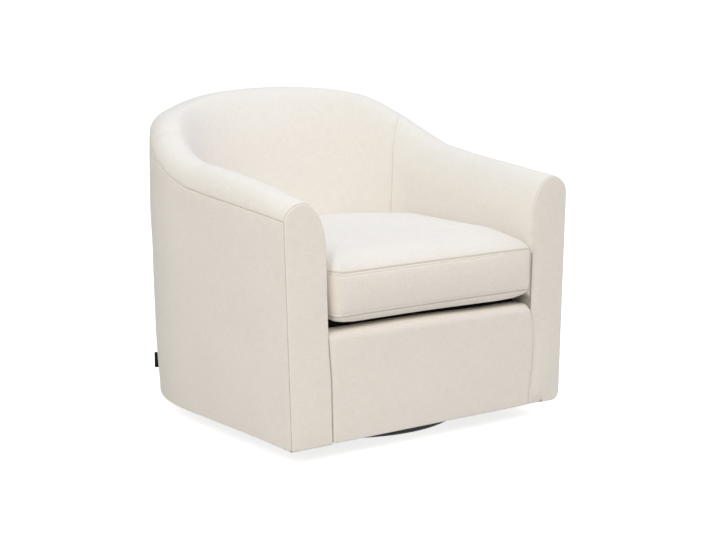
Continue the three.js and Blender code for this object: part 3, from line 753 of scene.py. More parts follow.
class ShaderKit:
    """The node groups that the finishes share, each built once, and the materials made."""

    def __init__(self) -> None:
        """Starts without any material."""
        self.materials: dict[str, Material] = {}

    def group(
        self, name: str, inputs: dict[str, float], outputs: Sequence[str]
    ) -> tuple[Tree, Nodes, dict[str, Socket], dict[str, Socket]]:
        """Starts a group that is laid out by a vector.

        Args:
            name: Name of the group.
            inputs: Name and first value of each input beside the vector.
            outputs: Names of the outputs, all of them values.

        Returns:
            The group, its writer, and the sockets of its inputs and its outputs.
        """
        tree = bpy.data.node_groups.new(name, "ShaderNodeTree")
        tree.interface.new_socket("Vector", in_out="INPUT", socket_type="NodeSocketVector")
        for word, first in inputs.items():
            socket = tree.interface.new_socket(word, in_out="INPUT", socket_type="NodeSocketFloat")
            socket.default_value = first
        for word in outputs:
            tree.interface.new_socket(word, in_out="OUTPUT", socket_type="NodeSocketFloat")
        nodes = Nodes(tree)
        given = nodes.add("NodeGroupInput").outputs
        return tree, nodes, given, nodes.add("NodeGroupOutput").inputs

    @cached_property
    def weave(self) -> Tree:
        """Plain weave: threads both ways, with slubs where a thread runs thick.

        Returns:
            The group.
        """
        tree, nodes, given, made = self.group(
            "weave",
            {"Pitch": 0.0014, "Slub Length": 0.022, "Slub Width": 0.0017},
            ["Height", "Shade"],
        )
        parts = nodes.fill(nodes.add("ShaderNodeSeparateXYZ"), Vector=given["Vector"])
        turns = nodes.math("DIVIDE", 2 * math.pi, given["Pitch"])
        first, second, third = (
            nodes.math("SINE", nodes.math("MULTIPLY", part, turns)) for part in parts.outputs
        )
        crossings = nodes.math(
            "ADD",
            nodes.math("MULTIPLY", first, second),
            nodes.math("MULTIPLY", third, nodes.math("ADD", first, second)),
        )
        slubs = None
        for axis in "XYZ":
            sizes = {other: given["Slub Width"] for other in "XYZ"}
            sizes[axis] = given["Slub Length"]
            size = nodes.fill(nodes.add("ShaderNodeCombineXYZ"), **sizes)
            laid = nodes.add("ShaderNodeVectorMath", operation="DIVIDE")
            nodes.join(given["Vector"], laid.inputs[0])
            nodes.join(size.outputs[0], laid.inputs[1])
            thread = nodes.noise(laid.outputs[0], 1.0)
            slubs = thread if slubs is None else nodes.math("ADD", slubs, thread)
        slubs = nodes.math("SUBTRACT", nodes.math("MULTIPLY", slubs, 1.6), 1.9)
        height = nodes.math("ADD", nodes.math("MULTIPLY", crossings, 0.22), slubs)
        nodes.join(height, made["Height"])
        tone = nodes.math("ADD", nodes.math("MULTIPLY", crossings, 0.12), slubs)
        shade = nodes.fill(nodes.add("ShaderNodeClamp"), Value=tone)
        nodes.join(shade.outputs[0], made["Shade"])
        return tree

    @cached_property
    def mottle(self) -> Tree:
        """Broad faint patches of tone.

        Returns:
            The group.
        """
        tree, nodes, given, made = self.group("mottle", {"Patch Size": 0.06}, ["Patches"])
        laid = nodes.add("ShaderNodeVectorMath", operation="SCALE")
        nodes.join(given["Vector"], laid.inputs[0])
        nodes.join(nodes.math("DIVIDE", 1.0, given["Patch Size"]), laid.inputs["Scale"])
        patches = nodes.noise(laid.outputs[0], 3.0)
        spread = nodes.math("MULTIPLY", nodes.math("SUBTRACT", patches, 0.5), 2.2)
        held = nodes.fill(nodes.add("ShaderNodeClamp"), Value=nodes.math("ADD", spread, 0.5))
        nodes.join(held.outputs[0], made["Patches"])
        return tree

    @cached_property
    def grain(self) -> Tree:
        """Wood grain, long along x.

        Returns:
            The group.
        """
        tree, nodes, given, made = self.group("grain", {}, ["Grain"])
        lines = nodes.noise(nodes.stretched(given["Vector"], (0.18, 0.006, 0.004)), 4.0)
        rings = nodes.noise(nodes.stretched(given["Vector"], (0.5, 0.035, 0.02)), 2.0)
        bands = nodes.math("FRACT", nodes.math("MULTIPLY", rings, 7.0))
        ridge = nodes.math("ABSOLUTE", nodes.math("SUBTRACT", bands, 0.5))
        both = nodes.math("ADD", lines, nodes.math("MULTIPLY", ridge, 0.6))
        nodes.join(nodes.math("SUBTRACT", both, 0.15), made["Grain"])
        return tree

    @cached_property
    def handling(self) -> Tree:
        """Fine scratches and smudges that change how a hard surface shines.

        Returns:
            The group.
        """
        tree, nodes, given, made = self.group(
            "handling", {"Roughness": 0.4, "Spread": 0.3}, ["Roughness", "Height"]
        )
        strokes = nodes.noise(nodes.stretched(given["Vector"], (0.03, 0.0012, 0.0012)), 3.0)
        smudges = nodes.noise(nodes.stretched(given["Vector"], (0.03, 0.03, 0.03)), 3.0)
        both = nodes.math("ADD", nodes.math("MULTIPLY", strokes, 0.6), smudges)
        shine = nodes.math("MULTIPLY", nodes.math("SUBTRACT", both, 0.8), given["Spread"])
        nodes.join(nodes.math("ADD", given["Roughness"], shine), made["Roughness"])
        nodes.join(strokes, made["Height"])
        return tree


# Finishes.


def srgb(*values: float) -> Paint:
    """A colour in linear light, with an alpha of 1, from its red, green and blue to 255."""
    shares = np.array(values) / 255
    return (*np.where(shares > 0.04045, ((shares + 0.055) / 1.055) ** 2.4, shares / 12.92), 1.0)


@dataclass(frozen=True)
class Finish:
    """A material with its nodes, built when it is first asked for."""

    kit: ShaderKit
    name: str

    def get(self) -> Material:
        """Builds the material once.

        Returns:
            The material.
        """
        if self.name not in self.kit.materials:
            material = bpy.data.materials.new(self.name)
            material.use_nodes = True
            material.node_tree.nodes.clear()
            nodes = Nodes(material.node_tree)
            shader = nodes.add("ShaderNodeBsdfPrincipled")
            output = nodes.add("ShaderNodeOutputMaterial")
            nodes.join(shader.outputs[0], output.inputs[0])
            self.write(nodes, shader, nodes.add("ShaderNodeTexCoord").outputs["Object"])
            self.kit.materials[self.name] = material
        return self.kit.materials[self.name]

    def write(self, nodes: Nodes, shader: Node, where: Socket) -> None:
        """Writes the finish's own nodes."""
        raise NotImplementedError

    def shared(self, nodes: Nodes, tree: Tree, vector: Socket, **values: float) -> Node:
        """Places a shared group, laid out by a vector and with its own values."""
        node = nodes.add("ShaderNodeGroup", node_tree=tree)
        return nodes.fill(node, Vector=vector, **values)

    def bump(
        self, nodes: Nodes, shader: Node, height: Socket, depth: float, strength: float
    ) -> None:
        """Feeds a height into the shader's normal.

        Args:
            nodes: Writer of this material.
            shader: Its shader.
            height: Socket of the height.
            depth: Metres for one unit of height.
            strength: Share of the bump that is used.
        """
        node = nodes.add("ShaderNodeBump")
        nodes.fill(node, Strength=strength, Distance=depth, Height=height)
        nodes.join(node.outputs[0], shader.inputs["Normal"])


class Spread(Enum):
    """What a weave is laid out by: the flat cloth it was cut from, or the piece's own axes."""

    PANEL = "panel"
    SOLID = "solid"


@dataclass(frozen=True)
class Woven(Finish):
    """Woven cloth with slubs, a faint mottle and painted shade in its seams."""

    light: Paint
    dark: Paint
    spread: Spread
    fuzz: float
    # Share of the dark colour that the painted shade in the seams goes down to.
    painted_shade_share: float = 0.22

    def write(self, nodes: Nodes, shader: Node, where: Socket) -> None:
        """Writes the cloth's nodes.

        Args:
            nodes: Writer of this material.
            shader: Its shader.
            where: Places along the piece's own axes.
        """
        laid = where
        if self.spread is Spread.PANEL:
            laid = nodes.add("ShaderNodeAttribute", attribute_name=LAID_CLOTH).outputs["Vector"]
        weave = self.shared(nodes, self.kit.weave, laid)
        patches = self.shared(nodes, self.kit.mottle, where, Patch_Size=0.07)
        share = nodes.math("MULTIPLY", weave.outputs["Shade"], 0.55)
        worn = nodes.math("MULTIPLY", patches.outputs["Patches"], 0.12)
        tone = nodes.blend(nodes.math("ADD", share, worn), self.light, self.dark)
        # Painted shade: the colour darkens where the seam_shade attribute marks a seam's fold as in
        # shade.
        folds = nodes.add("ShaderNodeAttribute", attribute_name=SEAM_SHADE).outputs["Fac"]
        painted_fold_shade = (*(value * self.painted_shade_share for value in self.dark[:3]), 1.0)
        nodes.fill(
            shader,
            Base_Color=nodes.blend(folds, tone, painted_fold_shade),
            Roughness=0.92,
            Specular_IOR_Level=0.18,
            Sheen_Weight=self.fuzz,
            Sheen_Roughness=0.5,
        )
        self.bump(nodes, shader, weave.outputs["Height"], 0.00018, 0.6)


@dataclass(frozen=True)
class Stuffing(Finish):
    """Needled polyester wadding."""

    def write(self, nodes: Nodes, shader: Node, where: Socket) -> None:
        """Writes the wadding's nodes.

        Args:
            nodes: Writer of this material.
            shader: Its shader.
            where: Places along the piece's own axes.
        """
        patches = self.shared(nodes, self.kit.mottle, where, Patch_Size=0.02)
        tone = nodes.blend(patches.outputs["Patches"], srgb(238, 236, 230), srgb(222, 218, 208))
        nodes.fill(shader, Base_Color=tone, Roughness=1.0, Sheen_Weight=0.35)
        fibres = nodes.noise(nodes.stretched(where, (0.004, 0.004, 0.004)), 5.0)
        self.bump(nodes, shader, fibres, 0.002, 0.8)


@dataclass(frozen=True)
class Wood(Finish):
    """Wood, bare or painted: light between the lines of its grain, which have a relief."""

    light: Paint
    dark: Paint
    roughness: float
    relief: float

    def write(self, nodes: Nodes, shader: Node, where: Socket) -> None:
        """Writes the wood's nodes.

        Args:
            nodes: Writer of this material.
            shader: Its shader.
            where: Places along the piece's own axes.
        """
        grain = self.shared(nodes, self.kit.grain, where).outputs["Grain"]
        shine = self.shared(nodes, self.kit.handling, where, Roughness=self.roughness, Spread=0.15)
        tone = nodes.blend(grain, self.light, self.dark)
        nodes.fill(shader, Base_Color=tone, Roughness=shine.outputs["Roughness"])
        self.bump(nodes, shader, grain, self.relief, 0.6)


@dataclass(frozen=True)
class Board(Finish):
    """Pressed fibreboard."""

    def write(self, nodes: Nodes, shader: Node, where: Socket) -> None:
        """Writes the board's nodes.

        Args:
            nodes: Writer of this material.
            shader: Its shader.
            where: Places along the piece's own axes.
        """
        patches = self.shared(nodes, self.kit.mottle, where, Patch_Size=0.003)
        tone = nodes.blend(patches.outputs["Patches"], srgb(160, 124, 86), srgb(126, 92, 60))
        nodes.fill(shader, Base_Color=tone, Roughness=0.85)
        self.bump(nodes, shader, patches.outputs["Patches"], 0.0003, 0.6)


@dataclass(frozen=True)
class Hard(Finish):
    """Metal, paint or moulded plastic with darker patches and handling marks."""

    light: Paint
    dark: Paint
    metallic: float
    roughness: float

    def write(self, nodes: Nodes, shader: Node, where: Socket) -> None:
        """Writes the surface's nodes.

        Args:
            nodes: Writer of this material.
            shader: Its shader.
            where: Places along the piece's own axes.
        """
        patches = self.shared(nodes, self.kit.mottle, where, Patch_Size=0.025)
        tone = nodes.blend(patches.outputs["Patches"], self.light, self.dark)
        shine = self.shared(
            nodes, self.kit.handling, where, Roughness=self.roughness, Spread=0.25
        ).outputs
        nodes.fill(shader, Base_Color=tone, Metallic=self.metallic, Roughness=shine["Roughness"])
        self.bump(nodes, shader, shine["Height"], 0.00005, 0.4)


class Wardrobe:
    """All the finishes of the chair."""

    def __init__(self) -> None:
        """Makes the finishes, and lists those that the record's slots get on a frame node."""
        kit = ShaderKit()
        cream, shade = srgb(240, 236, 230), srgb(226, 220, 211)
        black, soot = srgb(22, 22, 23), srgb(32, 31, 31)
        self.linen_panel = Woven(kit, "linen_panel", cream, shade, Spread.PANEL, 0.12)
        self.linen_solid = Woven(kit, "linen_solid", cream, shade, Spread.SOLID, 0.12)
        self.thread = Woven(
            kit, "sewing_thread", srgb(232, 227, 216), srgb(222, 215, 202), Spread.SOLID, 0.1
        )
        self.black_cloth = Woven(kit, "black_lining", black, soot, Spread.SOLID, 0.1)
        self.wadding = Stuffing(kit, "wadding_fibre")
        self.black_paint = Wood(
            kit, "black_painted_wood", srgb(13, 12, 12), srgb(7, 7, 7), 0.55, 0.0001
        )
        self.birch = Wood(
            kit, "birch_plywood", srgb(219, 193, 148), srgb(178, 142, 94), 0.6, 0.0002
        )
        self.fibreboard = Board(kit, "pressed_fibreboard")
        self.steel = Hard(
            kit, "zinc_plated_steel", srgb(196, 198, 200), srgb(168, 171, 175), 1, 0.3
        )
        self.black_steel = Hard(kit, "black_steel", srgb(30, 30, 32), srgb(18, 18, 19), 0.6, 0.4)
        self.nylon = Hard(kit, "black_nylon", srgb(32, 32, 33), srgb(22, 22, 23), 0, 0.5)
        self.by_slot: dict[Slot, Finish] = {
            Slot.LINEN: self.linen_solid,
            Slot.WADDING: self.wadding,
            Slot.BLACK_CLOTH: self.black_cloth,
            Slot.BLACK_PAINT: self.black_paint,
            Slot.BIRCH: self.birch,
            Slot.FIBREBOARD: self.fibreboard,
            Slot.STEEL: self.steel,
            Slot.BLACK_STEEL: self.black_steel,
            Slot.NYLON: self.nylon,
        }


def dress(
    piece: Piece, finish: Finish, body: Body, stands_for: str | None = None
) -> None:
    """Gives a piece its finish and body, and hides the frame node that it replaces.

    Args:
        piece: The piece.
        finish: Its finish.
        body: The body it rides on.
        stands_for: The node of the frame that it replaces, or None.
    """
    piece.data.materials.clear()
    piece.data.materials.append(finish.get())
    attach(piece, body.value)
    if stands_for:
        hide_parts(stands_for)
    log.info("%s: %d faces, rides %s", piece.name, len(piece.data.polygons), body.value)


def upholster(piece: Piece, wardrobe: Wardrobe, node: str) -> None:
    """Dresses a linen cover of the barrel, which replaces a node of the frame."""
    dress(piece, wardrobe.linen_panel, Body.CHAIR, node)


# Upholstery.


@dataclass
class BarrelCovers:
    """The sewn covers of the barrel: inside, outside and over the roll."""

    form: BarrelForm
    seams: SeamPlan
    wardrobe: Wardrobe
    cloth: float = 0.0016
    step: float = 0.0075
    outer_quarter: float = 0.066
    seam_depth: float = 0.0032
    seam_width: float = 0.0024
    seam_dip: float = 0.0008
    front_seam_depth: float = 0.0034
    inside_seam_share: float = 0.62
    crossing_share: float = 0.38
    topstitch: float = 0.0078
    stitch_depth: float = 0.0011
    bottom_round: float = 0.004
    bottom_return: float = 0.034
    stuffing: float = 0.0014
    pucker: float = 0.0006
    outer_shade: float = 0.06
    front_shade: float = 0.75
    front_shade_width: float = 0.0019
    tuck_shade: float = 0.80
    tuck_line: float = 0.266

    def rolls_of_way(self) -> Grid:
        """Rows of the inside covers, close together at the outer seam.

        Returns:
            Ways down the roll, as in BarrelForm.roll.
        """
        spots = np.array(SEAM_SPOTS) / self.outer_quarter
        outer = np.linspace(spots[-1], 1, 11)
        return np.r_[spots[:-1], outer, np.linspace(1, 2, 24)[1:], np.linspace(2, 3, 40)[1:]]

    def soften(self, points: Grid, outwards: Grid, calm: Grid) -> Grid:
        """Adds the broad lumps of stuffing.

        Args:
            points: Places of the cover.
            outwards: Its normals.
            calm: Distance from the nearest seam.

        Returns:
            The places moved in or out.
        """
        broad = Lumps(11, (0.17, 0.17, 0.13)).at(points)
        fine = Lumps(12, (0.055, 0.055, 0.05)).at(points)
        share = smooth(calm / 0.06)
        lift = (broad * self.stuffing + fine * self.stuffing * 0.3) * share
        return points + outwards * lift[..., None]

    def seam_pull(
        self, points: Grid, distance: Grid, seed: int, deepest: float | None = None
    ) -> Grid:
        """Depth that a seam pulls into a cover, with small puckers along it.

        Args:
            points: Places of the cover.
            distance: Distance of each from the seam.
            seed: Seed of the puckers.
            deepest: Depth on the seam, if it isn't the usual one.

        Returns:
            The depth at each place.
        """
        ripple = Lumps(seed, (0.016, 0.016, 0.016)).at(points)
        reach = np.exp(-distance / 0.012)
        turned = rolled_edge(distance, deepest or self.seam_depth, self.seam_width)
        dipped = self.seam_dip * np.exp(-((distance / 0.008) ** 2))
        return turned + dipped + self.pucker * ripple * reach * smooth(distance / 0.002)

    def inside_panel(self, name: str, left: Edge, right: Edge, fronts: tuple[bool, bool]) -> Piece:
        """One inside cover, from the outer seam over the roll to the seat.

        Args:
            name: Name of the piece.
            left: Gives the run of its left edge for a way down the roll.
            right: Gives the run of its right edge.
            fronts: Whether the left and the right edge meet an arm's front panel.

        Returns:
            The new piece.
        """
        way = self.rolls_of_way()
        crossing = 1 - (1 - self.crossing_share) * swell(way, 0.9, 0.9)
        length = float(np.mean(right(way) - left(way)))
        shares = stations(length, self.step, SEAM_SPOTS) / length
        run = left(way)[None, :] * (1 - shares[:, None]) + right(way)[None, :] * shares[:, None]
        points = self.form.roll(run, way[None, :])
        crest = int(np.argmin(np.abs(way - 1)))
        outwards = facing(points, (len(shares) // 2, crest), (0, 0, 1))
        from_left, from_top = walked(points), walked(points, 1)
        from_right = from_left[-1] - from_left
        calm = from_top.copy()
        depth = self.seam_pull(points, from_top, 21)
        shade = seam_shade(from_top, self.outer_shade)
        back = not any(fronts)
        for at_front, distance, seed in ((fronts[0], from_left, 22), (fronts[1], from_right, 23)):
            calm = np.minimum(calm, distance)
            if at_front:
                pulled = self.seam_pull(points, distance, seed, self.front_seam_depth)
                painted_fold_shade = seam_shade(distance, self.front_shade)
            else:
                share = self.inside_seam_share * crossing[None, :]
                pulled = self.seam_pull(points, distance, seed) * share
                painted_fold_shade = seam_shade(distance, self.outer_shade) * crossing
                if back:
                    stitched = groove(distance - self.topstitch, self.stitch_depth, 0.0024)
                    pulled = pulled + stitched * crossing
            depth = np.maximum(depth, pulled)
            shade = np.maximum(shade, painted_fold_shade)
        under = smooth((self.tuck_line - points[..., 2] + self.form.clearance) / 0.010)
        shade = np.maximum(shade, self.tuck_shade * under)
        points = self.soften(points, outwards, calm)
        points = points - outwards * depth[..., None]
        if back:
            self.inside_stitches(points, outwards, way)
        return cloth_shell(name, points, outwards, self.cloth, shade=shade)

    def inside_stitches(self, points: Grid, outwards: Grid, way: Grid) -> None:
        """Lays the topstitching beside the seams of the inside back.

        Args:
            points: Places of the inside back's face.
            outwards: Its normals.
            way: Way down the roll of each column.
        """
        near = SEAM_SPOTS.index(self.topstitch)
        shown = way > 0.12
        for side, row in ((Side.LEFT, near), (Side.RIGHT, len(points) - 1 - near)):
            up = outwards[row, shown]
            line = points[row, shown] + up * STITCH_LIFT
            piece = stitch_line(f"inside_seam_stitches_{side.word}", line, up, False)
            dress(piece, self.wardrobe.thread, Body.CHAIR)

    def inside(self) -> None:
        """Builds the inside back and both inside arms."""
        seam = self.seams.inside
        front = self.form.front_run - self.seams.front_setback
        piece = self.inside_panel("inside_back", lambda way: -seam(way), seam, (False, False))
        upholster(piece, self.wardrobe, "inside_back_cover")
        edges = {
            Side.LEFT: (lambda way: np.full_like(way, -front), lambda way: -seam(way)),
            Side.RIGHT: (seam, lambda way: np.full_like(way, front)),
        }
        for side in Side:
            fronts = (side is Side.LEFT, side is Side.RIGHT)
            piece = self.inside_panel(f"inside_arm_{side.word}", *edges[side], fronts)
            upholster(piece, self.wardrobe, f"inside_arm_cover_{side.word}")

    def outside_panel(self, name: str, start: float, end: float) -> Piece:
        """One outside cover, from the outer seam down and under the bottom edge.

        Args:
            name: Name of the piece.
            start: Run of its first edge.
            end: Run of its last edge.

        Returns:
            The new piece.
        """
        form = self.form
        length = end - start
        run = start + stations(length, self.step, SEAM_SPOTS)
        seam = form.seam_height(run)
        radius = self.bottom_round
        share = stations(1.0, 0.02, [spot / 0.5 for spot in SEAM_SPOTS])
        share = share[share <= 1.0]
        down = 1 - share
        height = radius + (seam[:, None] - radius) * down[None, :]
        reach = form.outside_reach(run[:, None], height)
        turns = np.linspace(0, math.pi / 2, 6)[1:]
        low_height, low_reach = radius * (1 - np.sin(turns)), radius * (np.cos(turns) - 1)
        under = np.linspace(0, self.bottom_return - radius, 5)[1:]
        extra = np.ones((len(run), 1))
        height = np.hstack([height, extra * np.r_[low_height, 0 * under]])
        reach = np.hstack([reach, extra * np.r_[low_reach, -radius - under]])
        reach = reach - form.worn_corner(run[:, None], height)
        points = form.place(run[:, None], reach, height)
        middle = (len(run) // 2, len(share) // 2)
        outwards = facing(points, middle, points[middle] * (1, 1, 0) - (0, 0.1, 0))
        from_top = walked(points, 1)
        from_start, from_end = (np.abs(run - at)[:, None] + 0 * from_top for at in (start, end))
        calm = np.minimum(np.minimum(from_top, from_start), from_end)
        depth = self.seam_pull(points, from_top, 31)
        shade = seam_shade(from_top, self.outer_shade)
        for distance, run_there, seed in ((from_start, start, 32), (from_end, end, 33)):
            at_front = abs(run_there) > self.form.arch
            deepest = self.front_seam_depth if at_front else None
            depth = np.maximum(depth, self.seam_pull(points, distance, seed, deepest))
            if at_front:
                dark = seam_shade(distance, self.front_shade, self.front_shade_width)
            else:
                dark = seam_shade(distance, self.outer_shade)
            shade = np.maximum(shade, dark)
        points = self.soften(points, outwards, calm)
        points = points - outwards * depth[..., None]
        points[..., 2] = np.maximum(points[..., 2], form.clearance)
        return cloth_shell(name, points, outwards, self.cloth, shade=shade)

    def outside(self) -> None:
        """Builds the outside back and both outside arms."""
        seam = self.seams.outside
        front = self.form.front_run - self.seams.front_setback
        piece = self.outside_panel("outside_back", -seam, seam)
        upholster(piece, self.wardrobe, "outside_back_cover")
        for side in Side:
            ends = sorted([side.value * seam, side.value * front])
            piece = self.outside_panel(f"outside_arm_{side.word}", *ends)
            upholster(piece, self.wardrobe, f"outside_arm_cover_{side.word}")

    def build(self) -> None:
        """Builds all the covers of the barrel."""
        self.inside()
        self.outside()


# How a front panel turns in at its rim: distances from the rim, how far in from it the
# cloth lies there, and how far behind the front.
PANEL_SPOTS = (0.0, 0.0006, 0.0014, 0.0025, 0.0040, 0.0060, 0.0085, 0.0115)
PANEL_INSETS = (0.0036, 0.0023, 0.0015, 0.0013, 0.0023, 0.0048, 0.0080, 0.0115)
PANEL_SETBACKS = (0.0036, 0.0032, 0.0025, 0.0014, 0.0005, 0.0001, 0.0, 0.0)


@dataclass
class FrontPanels:
    """The arms' front panels and the rail between them."""

    form: BarrelForm
    seams: SeamPlan
    wardrobe: Wardrobe
    cloth: float = 0.0016
    rail_top: float = 0.244
    rail_length: float = 0.566
    rail_round: float = 0.020
    rail_return: float = 0.056
    panel_round: float = 0.0026
    panel_depth: float = 0.0036
    panel_swell: float = 0.0012
    panel_stuffing: float = 0.0008
    panel_stand: float = 0.002
    bottom_round: float = 0.004
    bottom_return: float = 0.034
    inner_setback: float = 0.0042
    inner_reach: float = 0.0160
    cushion_top: float = 0.380
    rail_end_depth: Pair = (0.0064, 0.0040)
    rail_end_round: Pair = (0.0125, 0.0060)
    rail_fall: float = 0.0034
    rail_pucker: float = 0.0005
    rail_stuffing: float = 0.0010
    rim_shade: float = 0.10
    # Painted shade on the right panel's inner rim beside the cushion: its strength, width and
    # heights.
    cushion_shade_strength: float = 0.20
    cushion_shade_width: float = 0.011
    cushion_shade_heights: Pair = (0.250, 0.385)
    rail_shade: Pair = (0.95, 0.30)
    right_bow: tuple[Pair, ...] = (
        *((0.000, 0.2860), (0.053, 0.2912), (0.095, 0.2975), (0.135, 0.2998)),
        *((0.191, 0.2994), (0.225, 0.2905), (0.250, 0.2845)),
    )
    left_bow: tuple[Pair, ...] = (
        *((0.000, 0.2740), (0.060, 0.2752), (0.136, 0.2768)),
        *((0.190, 0.2812), (0.216, 0.2836), (0.250, 0.2846)),
    )

    def rail_side(self, side: Side, height: Grid) -> Grid:
        """Distance of a rail seam from the middle.

        Args:
            side: Which seam.
            height: Height above the bottom edge.

        Returns:
            The distance at each height.
        """
        heights, aways = np.array(self.right_bow if side is Side.RIGHT else self.left_bow).T
        fine = np.linspace(0, heights[-1], 200)
        kernel = np.hanning(41)
        padded = np.pad(np.interp(fine, heights, aways), 20, mode="edge")
        eased = np.convolve(padded, kernel / kernel.sum(), mode="valid")
        return np.interp(height, fine, eased)

    def arm_edges(self, side: Side, height: Grid) -> tuple[Grid, Grid]:
        """Inner and outer edge of an arm's front at some heights.

        Args:
            side: Which arm.
            height: Heights above the bottom edge, up to the crest.

        Returns:
            Distances from the middle of the inner and the outer edge.
        """
        form = self.form
        run = np.array(side.value * form.front_run)
        way = np.r_[np.linspace(0, 1, 200), np.linspace(1, 2, 200)[1:], np.linspace(2, 3, 60)[1:]]
        points = form.roll(run, way)
        level = points[:, 2] - form.clearance
        away = np.abs(points[:, 0])
        top = int(np.argmax(level))
        outer_high = np.interp(height, level[: top + 1], away[: top + 1])
        seam = float(form.seam_height(run))
        outer_low = form.half_width + form.outside_reach(run, height)
        outer_low = outer_low - form.worn_corner(run, height)
        outer = np.where(height > seam, outer_high, outer_low)
        inner_high = np.interp(height, level[top:][::-1], away[top:][::-1])
        inner_low = self.rail_side(side, height)
        share = smooth((height - self.rail_top + 0.012) / 0.02)
        inner = inner_low * (1 - share) + inner_high * share
        return inner, outer

    def arm_front(self, side: Side) -> Piece:
        """One arm's front panel.

        Args:
            side: Which arm.

        Returns:
            The new piece.
        """
        form = self.form
        crest = float(form.crest_height(np.array(side.value * form.front_run)))
        from_crest = np.r_[
            (0, 0.00015, 0.0005, 0.001, 0.0017, 0.0026, 0.0038, 0.0053, 0.0072),
            np.linspace(0.0095, 0.10, 30),
            np.linspace(0.10, crest - 0.006, 66)[1:],
            crest - np.array([0.0045, 0.003, 0.0018, 0.0009, 0.0003, 0.0]),
        ]
        height = crest - from_crest
        inner, outer = self.arm_edges(side, height)
        spots = np.array(PANEL_SPOTS) / 0.1
        share = np.r_[spots, np.linspace(0.14, 0.86, 16), 1 - spots[::-1]]
        away = inner[:, None] * (1 - share[None, :]) + outer[:, None] * share[None, :]
        sides = [np.stack([edge, height], -1) for edge in (inner, outer)]
        rim = np.concatenate([sides[0], sides[1][::-1], sides[0][:1]])
        flat, back, distance = self.tucked_in(away, height, rim, side is Side.RIGHT)
        swollen = self.panel_swell * smooth(distance / 0.045)
        x = side.value * flat[..., 0]
        points = np.stack([x, form.front_y + back, flat[..., 1] + form.clearance], -1)
        lumps = Lumps(41 + side.value, (0.09, 0.09, 0.12)).at(points)
        points[..., 1] += self.panel_swell - swollen
        points[..., 1] += self.panel_stuffing * lumps * smooth(distance / 0.04)
        points[..., 1] = np.maximum(points[..., 1], form.front_y - self.panel_stand)
        under = np.repeat(points[-1:], 4, axis=0)
        returned = np.linspace(self.panel_depth, self.bottom_return, 5)[1:]
        under[..., 1] = form.front_y + returned[:, None]
        points = np.concatenate([points, under])
        outwards = facing(points, (40, 12), (0, -1, 0))
        free = height[:, None] > self.rail_top + 0.01
        strength = np.where(free, self.rim_shade, self.rail_shade[side is Side.RIGHT])
        shade = seam_shade(distance, 1.0) * strength
        # The right panel also gets painted shade on its inner rim beside the cushion.
        if side is Side.RIGHT:
            shade = np.maximum(shade, self.painted_cushion_shade(flat, distance, share))
        shade = np.concatenate([shade, np.zeros((len(under), shade.shape[1]))])
        return cloth_shell(f"arm_front_{side.word}", points, outwards, self.cloth, shade=shade)

    def painted_cushion_shade(self, flat: Grid, distance: Grid, share: Grid) -> Grid:
        """Painted shade on the panel's inner rim, where the cushion beside it shades the cloth.

        Args:
            flat: Places in the panel's plane.
            distance: Distance of each from the rim.
            share: Share of the way across the panel, for each column.

        Returns:
            The shade of each place.
        """
        low, high = self.cushion_shade_heights
        level = smooth((flat[..., 1] - low) / 0.03) * smooth((high - flat[..., 1]) / 0.03)
        return seam_shade(distance, self.cushion_shade_strength, self.cushion_shade_width) * level * (share < 0.5)

    def tucked_in(
        self, away: Grid, height: Grid, rim: Grid, right: bool
    ) -> tuple[Grid, Grid, Grid]:
        """Turns a front panel's edge in, right under where it meets the arm's covers.

        Args:
            away: Distance from the middle of each place, in rows of one height.
            height: Height of each row above the bottom edge.
            rim: The panel's outline.
            right: True for the right arm, whose inner edge lies back from the rail.

        Returns:
            Places in the panel's plane, how far behind the front each lies, and how far
            from the rim.
        """
        flat = np.stack([away, np.broadcast_to(height[:, None], away.shape)], -1)
        core = np.stack([away.mean(axis=1), np.clip(height, 0.05, float(height.max()) - 0.05)], -1)
        towards = core[:, None] - flat
        towards /= np.maximum(np.linalg.norm(towards, axis=-1, keepdims=True), 1e-9)
        nudge = 0.0001
        nudged = (flat + towards * nudge).reshape(-1, 2)
        distance, spot = self.from_line(nudged, rim)
        inwards = ((nudged - spot) / distance[:, None]).reshape(flat.shape)
        spot = spot.reshape(flat.shape)
        distance = np.maximum(distance.reshape(away.shape) - nudge, 0)
        outer = spot[..., 0] > core[:, None, 0]
        above_rail = smooth((spot[..., 1] - self.rail_top - 0.004) / 0.02)
        tucked = np.where(outer, smooth(spot[..., 1] / 0.006), above_rail)
        inset = np.interp(distance, PANEL_SPOTS, PANEL_INSETS)
        inset = np.where(distance < PANEL_SPOTS[-1], inset, distance)
        inset = inset * tucked + distance * (1 - tucked)
        back = np.interp(distance, PANEL_SPOTS, PANEL_SETBACKS) * tucked
        back = back + rolled_edge(distance, self.panel_depth, self.panel_round) * (1 - tucked)
        beside_cushion = 0.2 + 0.8 * smooth((self.cushion_top - spot[..., 1]) / 0.05)
        laid_back = np.where(outer, 0.0, self.inner_setback if right else 0.0) * beside_cushion
        back = back + laid_back * np.exp(-((distance / self.inner_reach) ** 2))
        return spot + inwards * inset[..., None], back, distance

    def from_line(self, points: Grid, line: Grid) -> tuple[Grid, Grid]:
        """Distance of points in a plane from a line of straight parts.

        Args:
            points: One place a row.
            line: Corners of the line in order.

        Returns:
            The least distance for each place, and the nearest spot on the line.
        """
        first, part = line[:-1], np.diff(line, axis=0)
        length = np.maximum(np.sum(part**2, axis=1), 1e-14)
        share = np.clip(np.sum((points[:, None] - first) * part, axis=2) / length, 0, 1)
        spot = first + share[..., None] * part
        away = np.linalg.norm(points[:, None] - spot, axis=2)
        nearest = (np.arange(len(points)), np.argmin(away, axis=1))
        return away[nearest], spot[nearest]

